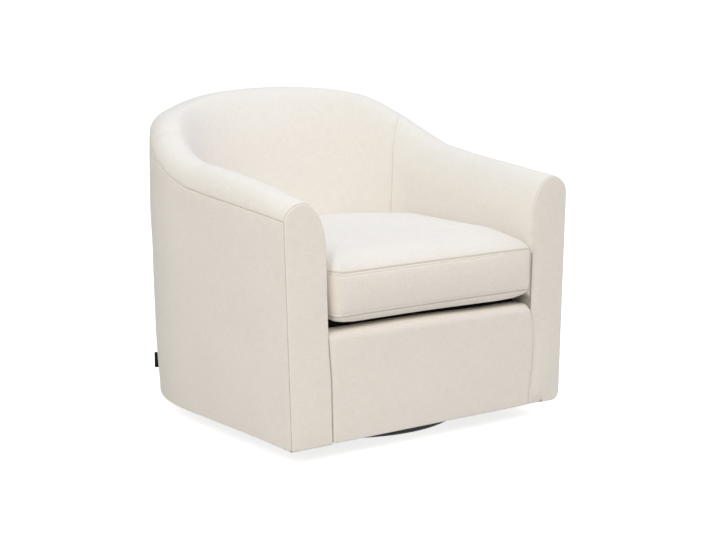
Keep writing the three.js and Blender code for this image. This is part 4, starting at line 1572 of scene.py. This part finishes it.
    def rail(self) -> Piece:
        """The cover of the front rail, from under the bottom edge up onto the deck.

        Returns:
            The new piece.
        """
        form = self.form
        radius, low = self.rail_round, self.bottom_round
        line = [(back, 0.0) for back in np.linspace(self.bottom_return, low, 4)]
        for turn in np.linspace(0, math.pi / 2, 6)[1:]:
            line.append((low * (1 - math.sin(turn)), low * (1 - math.cos(turn))))
        line += [(0.0, height) for height in np.linspace(low, self.rail_top - radius, 34)[1:]]
        for turn in np.linspace(0, math.pi / 2, 12)[1:]:
            level = self.rail_top - radius * (1 - math.sin(turn))
            line.append((radius * (1 - math.cos(turn)), level))
        for back in np.linspace(radius, self.rail_return, 7)[1:]:
            line.append((back, self.rail_top))
        back, height = np.array(line).T
        left = -self.rail_side(Side.LEFT, height)
        right = self.rail_side(Side.RIGHT, height)
        share = stations(self.rail_length, 0.0085, SEAM_SPOTS) / self.rail_length
        x = left[None, :] * (1 - share[:, None]) + right[None, :] * share[:, None]
        y = form.front_y + np.broadcast_to(back, x.shape)
        z = form.clearance + np.broadcast_to(height, x.shape)
        z = z - self.rail_fall * smooth((x + 0.10) / 0.36) * smooth((height - 0.15) / 0.09)
        points = np.stack([x, y, z], -1)
        outwards = facing(points, (len(share) // 2, 20), (0, -1, 0))
        distance = np.minimum(share, 1 - share)[:, None] * self.rail_length + 0 * x
        ripple = Lumps(51, (0.018, 0.018, 0.018)).at(points)
        lumps = Lumps(52, (0.16, 0.1, 0.1)).at(points)
        at_left = share[:, None] < 0.5
        deep = np.where(at_left, *self.rail_end_depth)
        wide = np.where(at_left, *self.rail_end_round)
        depth = rolled_edge(distance / wide, 1.0, 1.0) * deep
        depth += self.rail_pucker * ripple * np.exp(-distance / 0.012)
        depth += self.rail_stuffing * (1 - lumps * smooth(distance / 0.05))
        points = points - outwards * depth[..., None]
        points[..., 2] = np.maximum(points[..., 2], form.clearance)
        strength = np.where(share < 0.5, *self.rail_shade)[:, None]
        shade = seam_shade(distance, 1.0, 0.0020) * strength
        return cloth_shell("front_rail", points, outwards, self.cloth, shade=shade)

    def build(self) -> None:
        """Builds both arm fronts and the rail."""
        for side in Side:
            upholster(self.arm_front(side), self.wardrobe, f"arm_front_cover_{side.word}")
        upholster(self.rail(), self.wardrobe, "front_rail_cover")


# The seat cushion.


# How far the nose of the cushion hangs, from its left end to its right end.
NOSE_PLACES = (-0.275, -0.20, 0.0, 0.10, 0.20, 0.25, 0.278)
NOSE_SHARES = (0.0, 0.66, 0.84, 1.08, 1.28, 1.05, 0.35)
# How the cushion's cover behaves as cloth while it is blown up.
CUSHION_CLOTH = {
    "quality": 6,
    "mass": 0.35,
    "tension_stiffness": 30,
    "compression_stiffness": 30,
    "shear_stiffness": 8,
    "bending_stiffness": 1.2,
    "use_pressure": True,
    "uniform_pressure_force": 4.0,
}
# Distances from a seam of the cushion that get a row of places.
CUSHION_SPOTS = (0.0006, 0.0013, 0.0022, 0.0034, 0.0048, 0.0061, 0.0070, 0.0079, 0.0095)


@dataclass
class SeatCushion:
    """The loose boxed cushion: two panels and a boxing strip, stuffed and topstitched."""

    form: BarrelForm
    wardrobe: Wardrobe
    gap: float = 0.0030
    front: float = 0.0025
    corner: float = 0.0230
    corners: Pair = (0.0230, 0.0070)
    corners_at_seam: Pair = (0.0180, 0.0040)
    left_pull: float = 0.0165
    right_push: float = 0.0030
    side_inset: float = 0.097
    side_share: float = 0.82
    end_run: float = 0.16
    crown_powers: Pair = (6, 0.657)
    under_powers: Pair = (14, 0.62)
    held_from: float = 2.25
    bottom_seam: float = 0.2745
    top_seam: float = 0.3690
    arm_lift: float = 0.0135
    corner_lift: float = 0.0060
    deck: float = 0.2585
    nose: float = 0.0095
    hang_under: float = 0.44
    crown: float = 0.0435
    start_fill: float = 0.80
    frames: int = 20
    spread_spots: int = 45
    draw_in: float = 0.0050
    front_bulge: float = 0.0060
    lift_cap: float = 0.0240
    middle: Pair = (0.0, -0.055)
    seam_depth: float = 0.0030
    seam_width: float = 0.0028
    seam_dip: float = 0.0008
    stitch_depth: float = 0.0008
    pucker: float = 0.0005
    stuffing: float = 0.0012
    half_depth: float = 0.24
    band: Pair = (0.0074, 0.0050)
    seam_shade: float = 0.20

    def spots(self, count: int) -> Grid:
        """Evenly spread spots round the cushion's edge, as shares of the way round."""
        return np.arange(count) / count

    def edge(self, around: Grid, height: float, inset: Grid) -> Grid:
        """The cushion's edge at one height.

        Args:
            around: Shares of the way round, from the right front corner to the back.
            height: Height above the bottom edge of the chair.
            inset: How far inside the full edge, for each spot.

        Returns:
            Places in plan for each spot.
        """
        form = self.form
        last = form.front_run - self.front - self.corner
        arc = self.corner * math.pi / 2
        width = 2 * (form.half_width - self.side_inset - self.gap - self.corner)
        total = 2 * last * self.side_share + 2 * arc + width
        side_part = 2 * last * self.side_share / total
        arc_part = arc / total
        inset = np.broadcast_to(inset, around.shape)
        level = (height - self.bottom_seam) / (self.top_seam - self.bottom_seam)
        share = 1 - math.sin(math.pi * min(max(level, 0), 1))
        left_tight, right_tight = (
            self.corner - wide + (wide - narrow) * share
            for wide, narrow in zip(self.corners, self.corners_at_seam)
        )
        run = last * (1 - 2 * np.clip(around / side_part, 0, 1))
        reach = form.inside_reach(run, np.full_like(run, height)) - self.gap - inset
        reach = reach - self.left_pull * smooth((-run - last + self.end_run) / 0.15)
        reach = reach + self.right_push * smooth((run - last + self.end_run) / 0.15)
        foot, outward = form.outline(run)
        plan = foot + outward * reach[:, None]
        end_reach = float(form.inside_reach(np.array(last), np.array(height))) - self.gap
        side_x = form.half_width + end_reach - inset
        centre_y = form.front_y + self.front + self.corner
        radius = self.corner - left_tight - inset
        left_x = radius - side_x + self.left_pull
        left_turn = np.clip((around - side_part) / arc_part, 0, 1) * math.pi / 2
        left_y = centre_y - left_tight - radius * np.sin(left_turn)
        left = np.stack([left_x - radius * np.cos(left_turn), left_y], -1)
        radius = self.corner - right_tight - inset
        right_x = side_x + self.right_push - radius
        right_turn = np.clip((around - 1 + arc_part) / arc_part, 0, 1) * math.pi / 2
        right_y = centre_y - right_tight - radius * np.cos(right_turn)
        right = np.stack([right_x + radius * np.sin(right_turn), right_y], -1)
        along = np.clip((around - side_part - arc_part) / (width / total), 0, 1)
        face_y = form.front_y + self.front + inset + self.draw_in * (1 - (along * 2 - 1) ** 2)
        face = np.stack([left_x * (1 - along) + right_x * along, face_y], -1)
        plan = np.where((around > side_part)[:, None], left, plan)
        plan = np.where((around > side_part + arc_part)[:, None], face, plan)
        return np.where((around > 1 - arc_part)[:, None], right, plan)

    def at_front(self, around: Grid) -> Grid:
        """1 along the cushion's free front and 0 where the arms and the back hold it."""
        plan = self.edge(around, self.top_seam, np.zeros_like(around))
        return smooth((self.form.front_y + 0.05 - plan[:, 1]) / 0.04)

    def shape(self, rows: Grid, around: Grid, fill: float) -> Grid:
        """The cushion's face before the stuffing has settled.

        Args:
            rows: 0 to 1 from the middle of the top to its seam, 1 to 2 down the boxing,
                2 to 3 from the lower seam to the middle of the underside.
            around: Shares of the way round the edge.
            fill: Share of the full crown.

        Returns:
            Places for each row and spot.
        """
        middle = np.array(self.middle)
        rim = self.edge(around, self.top_seam, np.zeros_like(around))
        across = rim[:, 0] / rim[:, 0].max()
        loose = self.at_front(around) * (1 - np.abs(across) ** 6)
        from_front = rim[:, 1] - self.form.front_y
        lift = self.arm_lift * smooth((across - 0.35) / 0.35)
        lift = lift * smooth((from_front + 0.01) / 0.10) * smooth((0.52 - from_front) / 0.12)
        lift = lift + self.corner_lift * self.at_front(around) * smooth((-across - 0.8) / 0.2)
        points = np.zeros((len(rows), len(around), 3))
        for number, row in enumerate(rows):
            if row <= 1:
                plan = middle + (rim - middle) * row
                power, root = self.crown_powers
                rise = (1 - row**power) ** root
                height = self.top_seam + self.crown * fill * rise + lift * row**2
            elif row <= 2:
                down = row - 1
                level = self.top_seam + (self.bottom_seam - self.top_seam) * down
                bulge = math.sin(math.pi * down) * (0.0010 + self.front_bulge * loose)
                plan = self.edge(around, level, -bulge)
                height = level + lift * (1 - down)
            else:
                inwards = row - 2
                plan = self.edge(around, self.bottom_seam, np.zeros_like(around))
                plan = middle + (plan - middle) * (1 - inwards)
                power, root = self.under_powers
                fall = (1 - (1 - inwards) ** power) ** root
                height = self.bottom_seam + (self.deck - self.bottom_seam) * fall
                height = height - self.hang(plan) * fall
            points[number, :, :2] = plan
            points[number, :, 2] = height + self.form.clearance
        return points

    def hang(self, plan: Grid) -> Grid:
        """How far the nose of the underside hangs below the deck, at places in plan."""
        along = np.interp(plan[..., 0], NOSE_PLACES, NOSE_SHARES)
        return self.nose * along * smooth((self.form.front_y + 0.058 - plan[..., 1]) / 0.022)

    def settled(self) -> tuple[Grid, Grid, Grid]:
        """Blows the cover up like a stuffed cushion, with its seams held.

        Returns:
            The rows and spots of a coarse grid and how far each of its places moves.
        """
        below = 2 + np.linspace(0, 0.955, 20)[1:] ** 1.3
        rows = np.r_[np.linspace(0.045, 1, 27), np.linspace(1, 2, 11)[1:], below]
        around = self.spots(220)
        start = self.shape(rows, around, self.start_fill)
        cover = mesh_object("cushion_cover_start", *ringed(start))
        held = cover.vertex_groups.new(name="held")
        columns = len(around)
        for row, place in enumerate(rows):
            if min(abs(place - 1), abs(place - 2)) < 1e-6 or place > self.held_from:
                held.add(list(range(row * columns, (row + 1) * columns)), 1.0, "REPLACE")
        held.add([len(cover.data.vertices) - 1], 1.0, "REPLACE")
        cloth = cover.modifiers.new("stuffing", "CLOTH")
        for key, value in CUSHION_CLOTH.items():
            setattr(cloth.settings, key, value)
        cloth.settings.vertex_group_mass = held.name
        cloth.settings.effector_weights.gravity = 0.0
        cloth.point_cache.frame_end = self.frames
        scene = bpy.context.scene
        for number in range(self.frames):
            scene.frame_set(number + 1)
        blown = cover.evaluated_get(bpy.context.evaluated_depsgraph_get()).data
        places = np.empty(len(blown.vertices) * 3, dtype=np.float32)
        blown.vertices.foreach_get("co", places)
        places = places[: start.size].astype(float).reshape(start.shape)
        mesh = cover.data
        bpy.data.objects.remove(cover)
        bpy.data.meshes.remove(mesh)
        scene.frame_set(1)
        move = places - start
        top = rows <= 1
        move[top] = self.evened(move[top], rows[top])
        short = (self.shape(rows, around, 1.0) - start - move)[top][..., 2].mean(axis=1)
        log.info("cushion: the cover settled %.4f m short of its crown", short.max())
        move[top, :, 2] += short[:, None]
        length = np.linalg.norm(move, axis=-1, keepdims=True)
        capped = np.minimum(length, self.lift_cap) / np.maximum(length, 1e-9)
        return rows, around, move * capped

    def evened(self, move: Grid, rows: Grid) -> Grid:
        """Spreads a movement of the top round the cushion, as firm filling does.

        Args:
            move: Movement of each row and spot.
            rows: The rows, 0 in the middle and 1 at the seam.

        Returns:
            The movement without dents.
        """
        kernel = np.hanning(self.spread_spots)
        kernel /= kernel.sum()
        half = self.spread_spots // 2
        broad = sum(
            weight * np.roll(move, number - half, axis=1) for number, weight in enumerate(kernel)
        )
        ring = broad.mean(axis=1, keepdims=True)
        inner = smooth((0.6 - rows) / 0.5)[:, None, None]
        return broad * (1 - inner) + ring * inner

    def face(self) -> tuple[Grid, Grid, Grid]:
        """The cushion's finished face, with its seams and topstitching pulled in.

        Returns:
            Places, their normals, and distances down the cover from both seams.
        """
        near = np.array(CUSHION_SPOTS)
        below = near / (self.top_seam - self.bottom_seam)
        beyond = near / self.half_depth
        rows = np.r_[
            np.linspace(0.02, 0.93, 46),
            1 - beyond[::-1],
            1,
            1 + below,
            np.linspace(1 + below[-1], 2 - below[-1], 14)[1:-1],
            2 - below[::-1],
            2,
            2 + beyond,
            2 + np.linspace(0.055, 0.98, 34),
        ]
        around = self.spots(560)
        coarse_rows, coarse_around, move = self.settled()
        points = self.shape(rows, around, self.start_fill)
        at_rows = np.interp(rows, coarse_rows, np.arange(len(coarse_rows)))
        at_around = around * len(coarse_around)
        moved = eased_between(move, at_rows, False)
        moved = eased_between(moved.swapaxes(0, 1), at_around, True).swapaxes(0, 1)
        points = points + moved
        down = walked(points)
        top_row, bottom_row = (int(np.argmin(np.abs(rows - seam))) for seam in (1, 2))
        upper, lower = down - down[top_row], down - down[bottom_row]
        closed = np.concatenate([points[:, -1:], points, points[:, :1]], axis=1)
        outwards = facing(closed, (10, 101), (0, 0, 1))[:, 1:-1]
        depth = np.zeros(points.shape[:2])
        band = self.band_at(points[top_row])
        for distance, sign in ((upper, 1), (lower, -1)):
            ripple = Lumps(61 + sign, (0.014, 0.014, 0.014)).at(points)
            reach = np.exp(-np.abs(distance) / 0.011)
            turned = rolled_edge(np.abs(distance), self.seam_depth, self.seam_width)
            turned = turned + self.seam_dip * np.exp(-((distance / 0.008) ** 2))
            stitched = groove(distance * sign - band, self.stitch_depth, 0.0020)
            pucker = self.pucker * ripple * reach * smooth(np.abs(distance) / 0.002)
            depth = depth + turned + stitched + pucker
        lumps = Lumps(63, (0.13, 0.13, 0.09)).at(points)
        calm = smooth(np.minimum(np.abs(upper), np.abs(lower)) / 0.05)
        depth -= self.stuffing * lumps * calm
        points = points - outwards * depth[..., None]
        sag = self.hang(points[..., :2]) * self.hang_under
        floor = self.deck + self.form.clearance - sag
        points[..., 2] = np.maximum(points[..., 2], floor)
        return points, outwards, np.stack([upper, lower])

    def band_at(self, edge: Grid) -> Grid:
        """How far the topstitching lies from the seam, less on the right than on the left."""
        share = edge[:, 0] / (2 * self.form.half_width) + 0.5
        return self.band[0] + (self.band[1] - self.band[0]) * share

    def build(self) -> None:
        """Builds the cushion and its topstitching."""
        points, outwards, distances = self.face()
        shade = np.maximum(*(seam_shade(np.abs(way), self.seam_shade) for way in distances))
        piece = round_body("seat_cushion_cover", points, shade)
        dress(piece, self.wardrobe.linen_solid, Body.CUSHION, "seat_cushion")
        for word, distance, sign in (("upper", distances[0], 1), ("lower", distances[1], -1)):
            band = self.band_at(points[int(np.argmin(np.abs(distance[:, 0])))])
            line, up = (at_distance(grid, distance, band * sign) for grid in (points, outwards))
            stitches = stitch_line(f"cushion_stitches_{word}", line + up * STITCH_LIFT, up, True)
            dress(stitches, self.wardrobe.thread, Body.CUSHION)


def at_distance(grid: Grid, distance: Grid, wanted: Grid) -> Grid:
    """Reads each column of a grid where its distance has a wanted value.

    Args:
        grid: Rows and columns of places.
        distance: Distance of each, growing down the rows.
        wanted: The distance to read in each column.

    Returns:
        One place a column.
    """
    read = [
        [np.interp(wanted[column], distance[:, column], grid[:, column, axis]) for axis in range(3)]
        for column in range(grid.shape[1])
    ]
    return np.array(read)


def stitch_line(
    name: str,
    line: Grid,
    outwards: Grid,
    around: bool,
    pitch: float = 0.0042,
    length: float = 0.0031,
    radius: float = 0.00026,
) -> Piece:
    """Lays a row of stitches along a line on a cover.

    Args:
        name: Name of the piece.
        line: Places along the line.
        outwards: The cover's normals there.
        around: True where the line closes on itself.
        pitch: Distance from one stitch to the next.
        length: Length of a stitch.
        radius: Radius of the thread.

    Returns:
        One piece with all the stitches.
    """
    if around:
        line = np.vstack([line, line[:1]])
        outwards = np.vstack([outwards, outwards[:1]])
    way = walked(line)
    count = int(way[-1] / pitch)
    sides = 6
    bow = np.array([-0.5, -0.32, 0.0, 0.32, 0.5])
    sunk = np.array([-1.6, 0.0, 0.35, 0.0, -1.6]) * radius
    thick = np.array([0.45, 1.0, 1.0, 1.0, 0.45]) * radius
    turns = (np.arange(sides) / sides * 2 * math.pi)[:, None]
    points: list[Grid] = []
    for stitch in range(count):
        spots = (stitch + 0.5) * pitch + bow * length
        middle = np.stack([np.interp(spots, way, line[:, axis]) for axis in range(3)], -1)
        up = np.stack([np.interp(spots, way, outwards[:, axis]) for axis in range(3)], -1)
        up /= np.linalg.norm(up, axis=1, keepdims=True)
        along = np.gradient(middle, axis=0)
        along /= np.linalg.norm(along, axis=1, keepdims=True)
        across = np.cross(along, up)
        for spot in range(len(bow)):
            ring = np.cos(turns) * across[spot] + np.sin(turns) * up[spot]
            points.append(middle[spot] + up[spot] * sunk[spot] + thick[spot] * ring)
    each = len(bow) * sides
    tube = [
        [low + turn, low + (turn + 1) % sides, low + sides + (turn + 1) % sides, low + sides + turn]
        for low in range(0, each - sides, sides)
        for turn in range(sides)
    ]
    tube += [list(reversed(range(sides))), list(range(each - sides, each))]
    faces = [[stitch * each + spot for spot in face] for stitch in range(count) for face in tube]
    piece = mesh_object(name, np.vstack(points), faces)
    turn_outwards(piece)
    return piece


# What lies under the covers.

# Shares of the way from the lining's hole to its rim that get a ring of places.
LINING_SPOTS = (0, 0.012, 0.05, 0.12, 0.22, 0.34, 0.46, 0.58, 0.7, 0.8, 0.88, 0.94, 0.98, 1)


@dataclass
class Stuffings:
    """Wadding behind the covers, the deck under the cushion and the lining below."""

    form: BarrelForm
    seams: SeamPlan
    wardrobe: Wardrobe
    cover: float = 0.0062
    wadding: float = 0.0140
    deck_top: float = 0.2580
    deck_bottom: float = 0.2330
    plate_hole: float = 0.1340
    wadding_end: float = 0.033
    deck_front: float = 0.0575
    deck_dish: float = 0.0006
    lining_margin: float = 0.034
    tab_drop: float = 0.0360
    tab_over: float = 0.0018
    tab_splay: float = 0.20
    tab_reach: float = 0.0122
    tab_half: float = 0.00075

    def wadding_shell(self) -> None:
        """Lays the wadding behind the inside covers and over the roll."""
        form = self.form
        end = form.front_run - self.wadding_end
        run = np.linspace(-end, end, 150)
        way = np.linspace(0.12, 2.98, 46)
        points = form.roll(run[:, None], way[None, :])
        outwards = facing(points, (75, 16), (0, 0, 1))
        lumps = Lumps(71, (0.03, 0.03, 0.03)).at(points)
        points = points - outwards * (self.cover + 0.0008 * (1 + lumps))[..., None]
        piece = cloth_shell("barrel_wadding", points, outwards, self.wadding)
        dress(piece, self.wardrobe.wadding, Body.CHAIR, "barrel_padding")

    def deck(self, cushion: SeatCushion) -> None:
        """Lays the padded deck that the cushion rests on.

        Args:
            cushion: The cushion, whose edge it follows.
        """
        around = cushion.spots(200)
        middle = np.array(cushion.middle)
        edge = cushion.edge(around, cushion.deck, np.zeros_like(around))
        edge[:, 1] = np.maximum(edge[:, 1], self.form.front_y + self.deck_front)
        edge = middle + (edge - middle) * 0.994
        top, bottom, dish = self.deck_top, self.deck_bottom, self.deck_dish
        rows = [(share, top - dish * share**2) for share in np.linspace(0.03, 0.95, 26)]
        for turn in np.linspace(0, math.pi / 2, 7)[1:]:
            rows.append((0.95 + 0.05 * math.sin(turn), top - dish - 0.009 * (1 - math.cos(turn))))
        rows += [(1.0, bottom + 0.004), (0.992, bottom)]
        rows += [(share, bottom) for share in np.linspace(0.9, 0.03, 10)]
        points = np.zeros((len(rows), len(around), 3))
        for number, (share, height) in enumerate(rows):
            points[number, :, :2] = middle + (edge - middle) * share
            points[number, :, 2] = height + self.form.clearance
        ripple = Lumps(72, (0.05, 0.05, 0.05)).at(points)
        points[:32, :, 2] -= dish * (1 + ripple[:32])
        piece = round_body("deck_platform", points)
        dress(piece, self.wardrobe.black_cloth, Body.CHAIR, "deck_pad")

    def lining(self) -> None:
        """Stretches the black lining under the chair, round the swivel."""
        form = self.form
        low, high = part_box("dust_cover")
        level = (low.z + high.z) / 2
        end = form.front_run - self.lining_margin
        foot, outward = form.outline(np.linspace(-end, end, 301))
        rim = foot - outward * 0.0350
        front = np.linspace(rim[-1], rim[0], 61)[1:-1]
        rim = np.vstack([rim, front])
        angle = np.arctan2(rim[:, 1], rim[:, 0])
        order = np.argsort(angle)
        rim, angle = rim[order], angle[order]
        around = np.stack([np.cos(angle), np.sin(angle)], -1)
        reach = np.minimum(1 / np.abs(around).max(axis=1), 1.28) * self.plate_hole
        hole = around * reach[:, None]
        shares = np.array(LINING_SPOTS)
        plan = hole[:, None] + (rim - hole)[:, None] * shares[None, :, None]
        folds = np.sin(angle * 46 + 2 * np.sin(angle * 5))[:, None] * 0.0004
        folds = folds * np.sin(math.pi * shares)[None, :]
        height = np.broadcast_to(level + 0.0003, folds.shape) + folds
        points = np.concatenate([plan, height[..., None]], -1)
        outwards = np.zeros_like(points)
        outwards[..., 2] = -1
        piece = cloth_shell("bottom_lining", points, outwards, 0.0006, around=True)
        dress(piece, self.wardrobe.black_cloth, Body.CHAIR, "dust_cover")

    def tab(self) -> None:
        """Folds the blank tab into the rear left seam."""
        low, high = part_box("seam_tab")
        run = np.array(-self.seams.outside)
        foot, outward = self.form.outline(run)
        out = np.append(outward, 0.0)
        along = np.array([outward[1], -outward[0], 0.0])
        tall = np.linspace(low.z, high.z + self.tab_over, 16) - self.tab_drop
        reach, half = self.tab_reach, self.tab_half
        turns = np.linspace(-math.pi / 2, math.pi / 2, 7)
        line = [(spot, -half) for spot in np.linspace(0.0004, reach - half, 8)]
        line += [(reach - half + half * math.cos(t), half * math.sin(t)) for t in turns[1:-1]]
        line += [(spot, half) for spot in np.linspace(reach - half, 0.0004, 8)]
        profile = np.array(line)
        start = np.append(foot + outward * 0.0005, 0.0)
        points = np.zeros((len(tall), len(profile), 3))
        for number, height in enumerate(tall):
            flare = float(self.form.outside_reach(run, height - self.form.clearance))
            bend = 0.0011 * (profile[:, 0] / reach) ** 2 + 0.0003 * math.sin(number * 0.9)
            points[number] = (
                start
                + out * (profile[:, :1] * (1 + self.tab_splay * (1 - number / 15)) + flare)
                + along * (profile[:, 1:] + bend[:, None])
                + np.array([0, 0, height])
            )
        outwards = facing(points, (8, 0), -along)
        piece = cloth_shell("seam_tab_ribbon", points, outwards, 0.0005)
        dress(piece, self.wardrobe.black_cloth, Body.CHAIR, "seam_tab")

    def build(self, cushion: SeatCushion) -> None:
        """Builds the wadding, the deck, the lining and the tab.

        Args:
            cushion: The cushion that the deck carries.
        """
        self.wadding_shell()
        self.deck(cushion)
        self.lining()
        self.tab()


# The studio.


@dataclass
class Studio:
    """Camera, floor and soft light."""

    azimuth: float = -36.45
    elevation: float = 10.235
    distance: float = 3.6452
    target: Spot = (-0.2088, -0.350, 0.4115)
    lens: float = 86.24
    floor_radius: float = 60.0
    floor_pale: float = 0.80
    sky: float = 0.416
    sky_colour: Colour = (1.0, 0.95, 0.90)
    lamp_aim: Spot = (0.0, 0.05, 0.4)

    def put(self, data: bpy.types.ID, place: Vector, way: Vector) -> Piece:
        """Puts a camera or a lamp in its place, looking along a way.

        Args:
            data: The camera's or the lamp's own data.
            place: Where it stands.
            way: The way that it looks.

        Returns:
            The new object.
        """
        thing = bpy.data.objects.new(data.name, data)
        thing.location = place
        thing.rotation_mode = "QUATERNION"
        thing.rotation_quaternion = way.to_track_quat("-Z", "Y")
        bpy.context.scene.collection.objects.link(thing)
        return thing

    def camera(self) -> None:
        """Makes the camera at the photograph's viewpoint."""
        turn, rise = math.radians(self.azimuth), math.radians(self.elevation)
        level = math.cos(rise)
        back = Vector((math.sin(turn) * level, -math.cos(turn) * level, math.sin(rise)))
        data = bpy.data.cameras.new("camera")
        data.lens = self.lens
        data.sensor_width = 36.0
        data.clip_end = 200.0
        place = Vector(self.target) + back * self.distance
        bpy.context.scene.camera = self.put(data, place, -back)

    def seen(self, nodes: Nodes) -> Socket:
        """Tells the rays that show the backdrop from those that light the chair.

        Args:
            nodes: Writer of the backdrop's nodes.

        Returns:
            1 for a ray that shows it and 0 for the others.
        """
        path = nodes.add("ShaderNodeLightPath").outputs
        seen = nodes.math("MAXIMUM", path["Is Camera Ray"], path["Is Glossy Ray"])
        return nodes.math("MAXIMUM", seen, path["Is Transmission Ray"])

    def floor(self) -> None:
        """Lays a wide pale floor that keeps the chair's shadow."""
        mesh = bpy.data.meshes.new("floor")
        flat = bmesh.new()
        bmesh.ops.create_circle(flat, cap_ends=True, segments=96, radius=self.floor_radius)
        flat.to_mesh(mesh)
        flat.free()
        floor = bpy.data.objects.new("floor", mesh)
        bpy.context.scene.collection.objects.link(floor)
        material = bpy.data.materials.new("studio_floor")
        material.use_nodes = True
        material.node_tree.nodes.clear()
        nodes = Nodes(material.node_tree)
        pale = self.floor_pale
        matt = nodes.fill(nodes.add("ShaderNodeBsdfDiffuse"), Color=(pale, pale, pale, 1))
        strength = nodes.math("MULTIPLY", self.seen(nodes), pale)
        glow = nodes.fill(nodes.add("ShaderNodeEmission"), Strength=strength)
        both = nodes.add("ShaderNodeAddShader")
        nodes.join(matt.outputs[0], both.inputs[0])
        nodes.join(glow.outputs[0], both.inputs[1])
        nodes.fill(nodes.add("ShaderNodeOutputMaterial"), Surface=both.outputs[0])
        floor.data.materials.append(material)

    def world(self) -> None:
        """Surrounds the studio with soft white light."""
        world = bpy.data.worlds.new("studio")
        world.use_nodes = True
        world.node_tree.nodes.clear()
        nodes = Nodes(world.node_tree)
        seen = self.seen(nodes)
        rest = nodes.math("MULTIPLY", seen, 1 - self.sky)
        colour = nodes.blend(seen, (*self.sky_colour, 1), (1, 1, 1, 1))
        ground = nodes.add("ShaderNodeBackground")
        nodes.fill(ground, Color=colour, Strength=nodes.math("ADD", rest, self.sky))
        nodes.fill(nodes.add("ShaderNodeOutputWorld"), Surface=ground.outputs[0])
        bpy.context.scene.world = world

    def lamp(self, name: str, place: Spot, size: float, power: float, colour: Colour) -> None:
        """Hangs one soft lamp that shines at the chair.

        Args:
            name: Name of the lamp.
            place: Where it hangs.
            size: Side of its square face.
            power: Its power in watts.
            colour: Its colour.
        """
        data = bpy.data.lights.new(name, "AREA")
        data.shape = "SQUARE"
        data.size = size
        data.energy = power
        data.color = colour
        lamp = self.put(data, Vector(place), Vector(self.lamp_aim) - Vector(place))
        lamp.visible_camera = False

    def build(self) -> None:
        """Sets up the studio."""
        self.camera()
        self.floor()
        self.world()
        self.lamp("top", (-0.3, -0.15, 3.4), 2.6, 16.2, (0.10, 0.55, 1.0))
        self.lamp("key", (-2.0, -2.4, 3.0), 2.2, 69.8, (1.0, 0.914, 0.771))
        self.lamp("left", (-2.6, -0.4, 2.6), 2.2, 16.3, (0.95, 0.95, 1.0))
        self.lamp("right", (1.8, -0.6, 3.0), 2.4, 35.2, (0.885, 0.876, 1.0))
        bpy.context.scene.view_settings.view_transform = "Standard"


def finish_frame_nodes(wardrobe: Wardrobe) -> None:
    """Gives every frame node that still shows its finish.

    Args:
        wardrobe: The finishes.
    """
    for part in frame["record"]["subparts"]:
        node = frame["nodes"][part["node"]]
        if not node.hide_render:
            node.data.materials.clear()
            node.data.materials.append(wardrobe.by_slot[Slot(part["material_slot"])].get())


def main() -> None:
    """Builds the chair around its frame and reports each piece."""
    logging.basicConfig(level=logging.INFO, format="%(name)s: %(message)s")
    wardrobe = Wardrobe()
    form, seams = BarrelForm(), SeamPlan()
    BarrelCovers(form, seams, wardrobe).build()
    FrontPanels(form, seams, wardrobe).build()
    cushion = SeatCushion(form, wardrobe)
    cushion.build()
    Stuffings(form, seams, wardrobe).build(cushion)
    Studio().build()
    finish_frame_nodes(wardrobe)


if __name__ == "__main__":
    main()
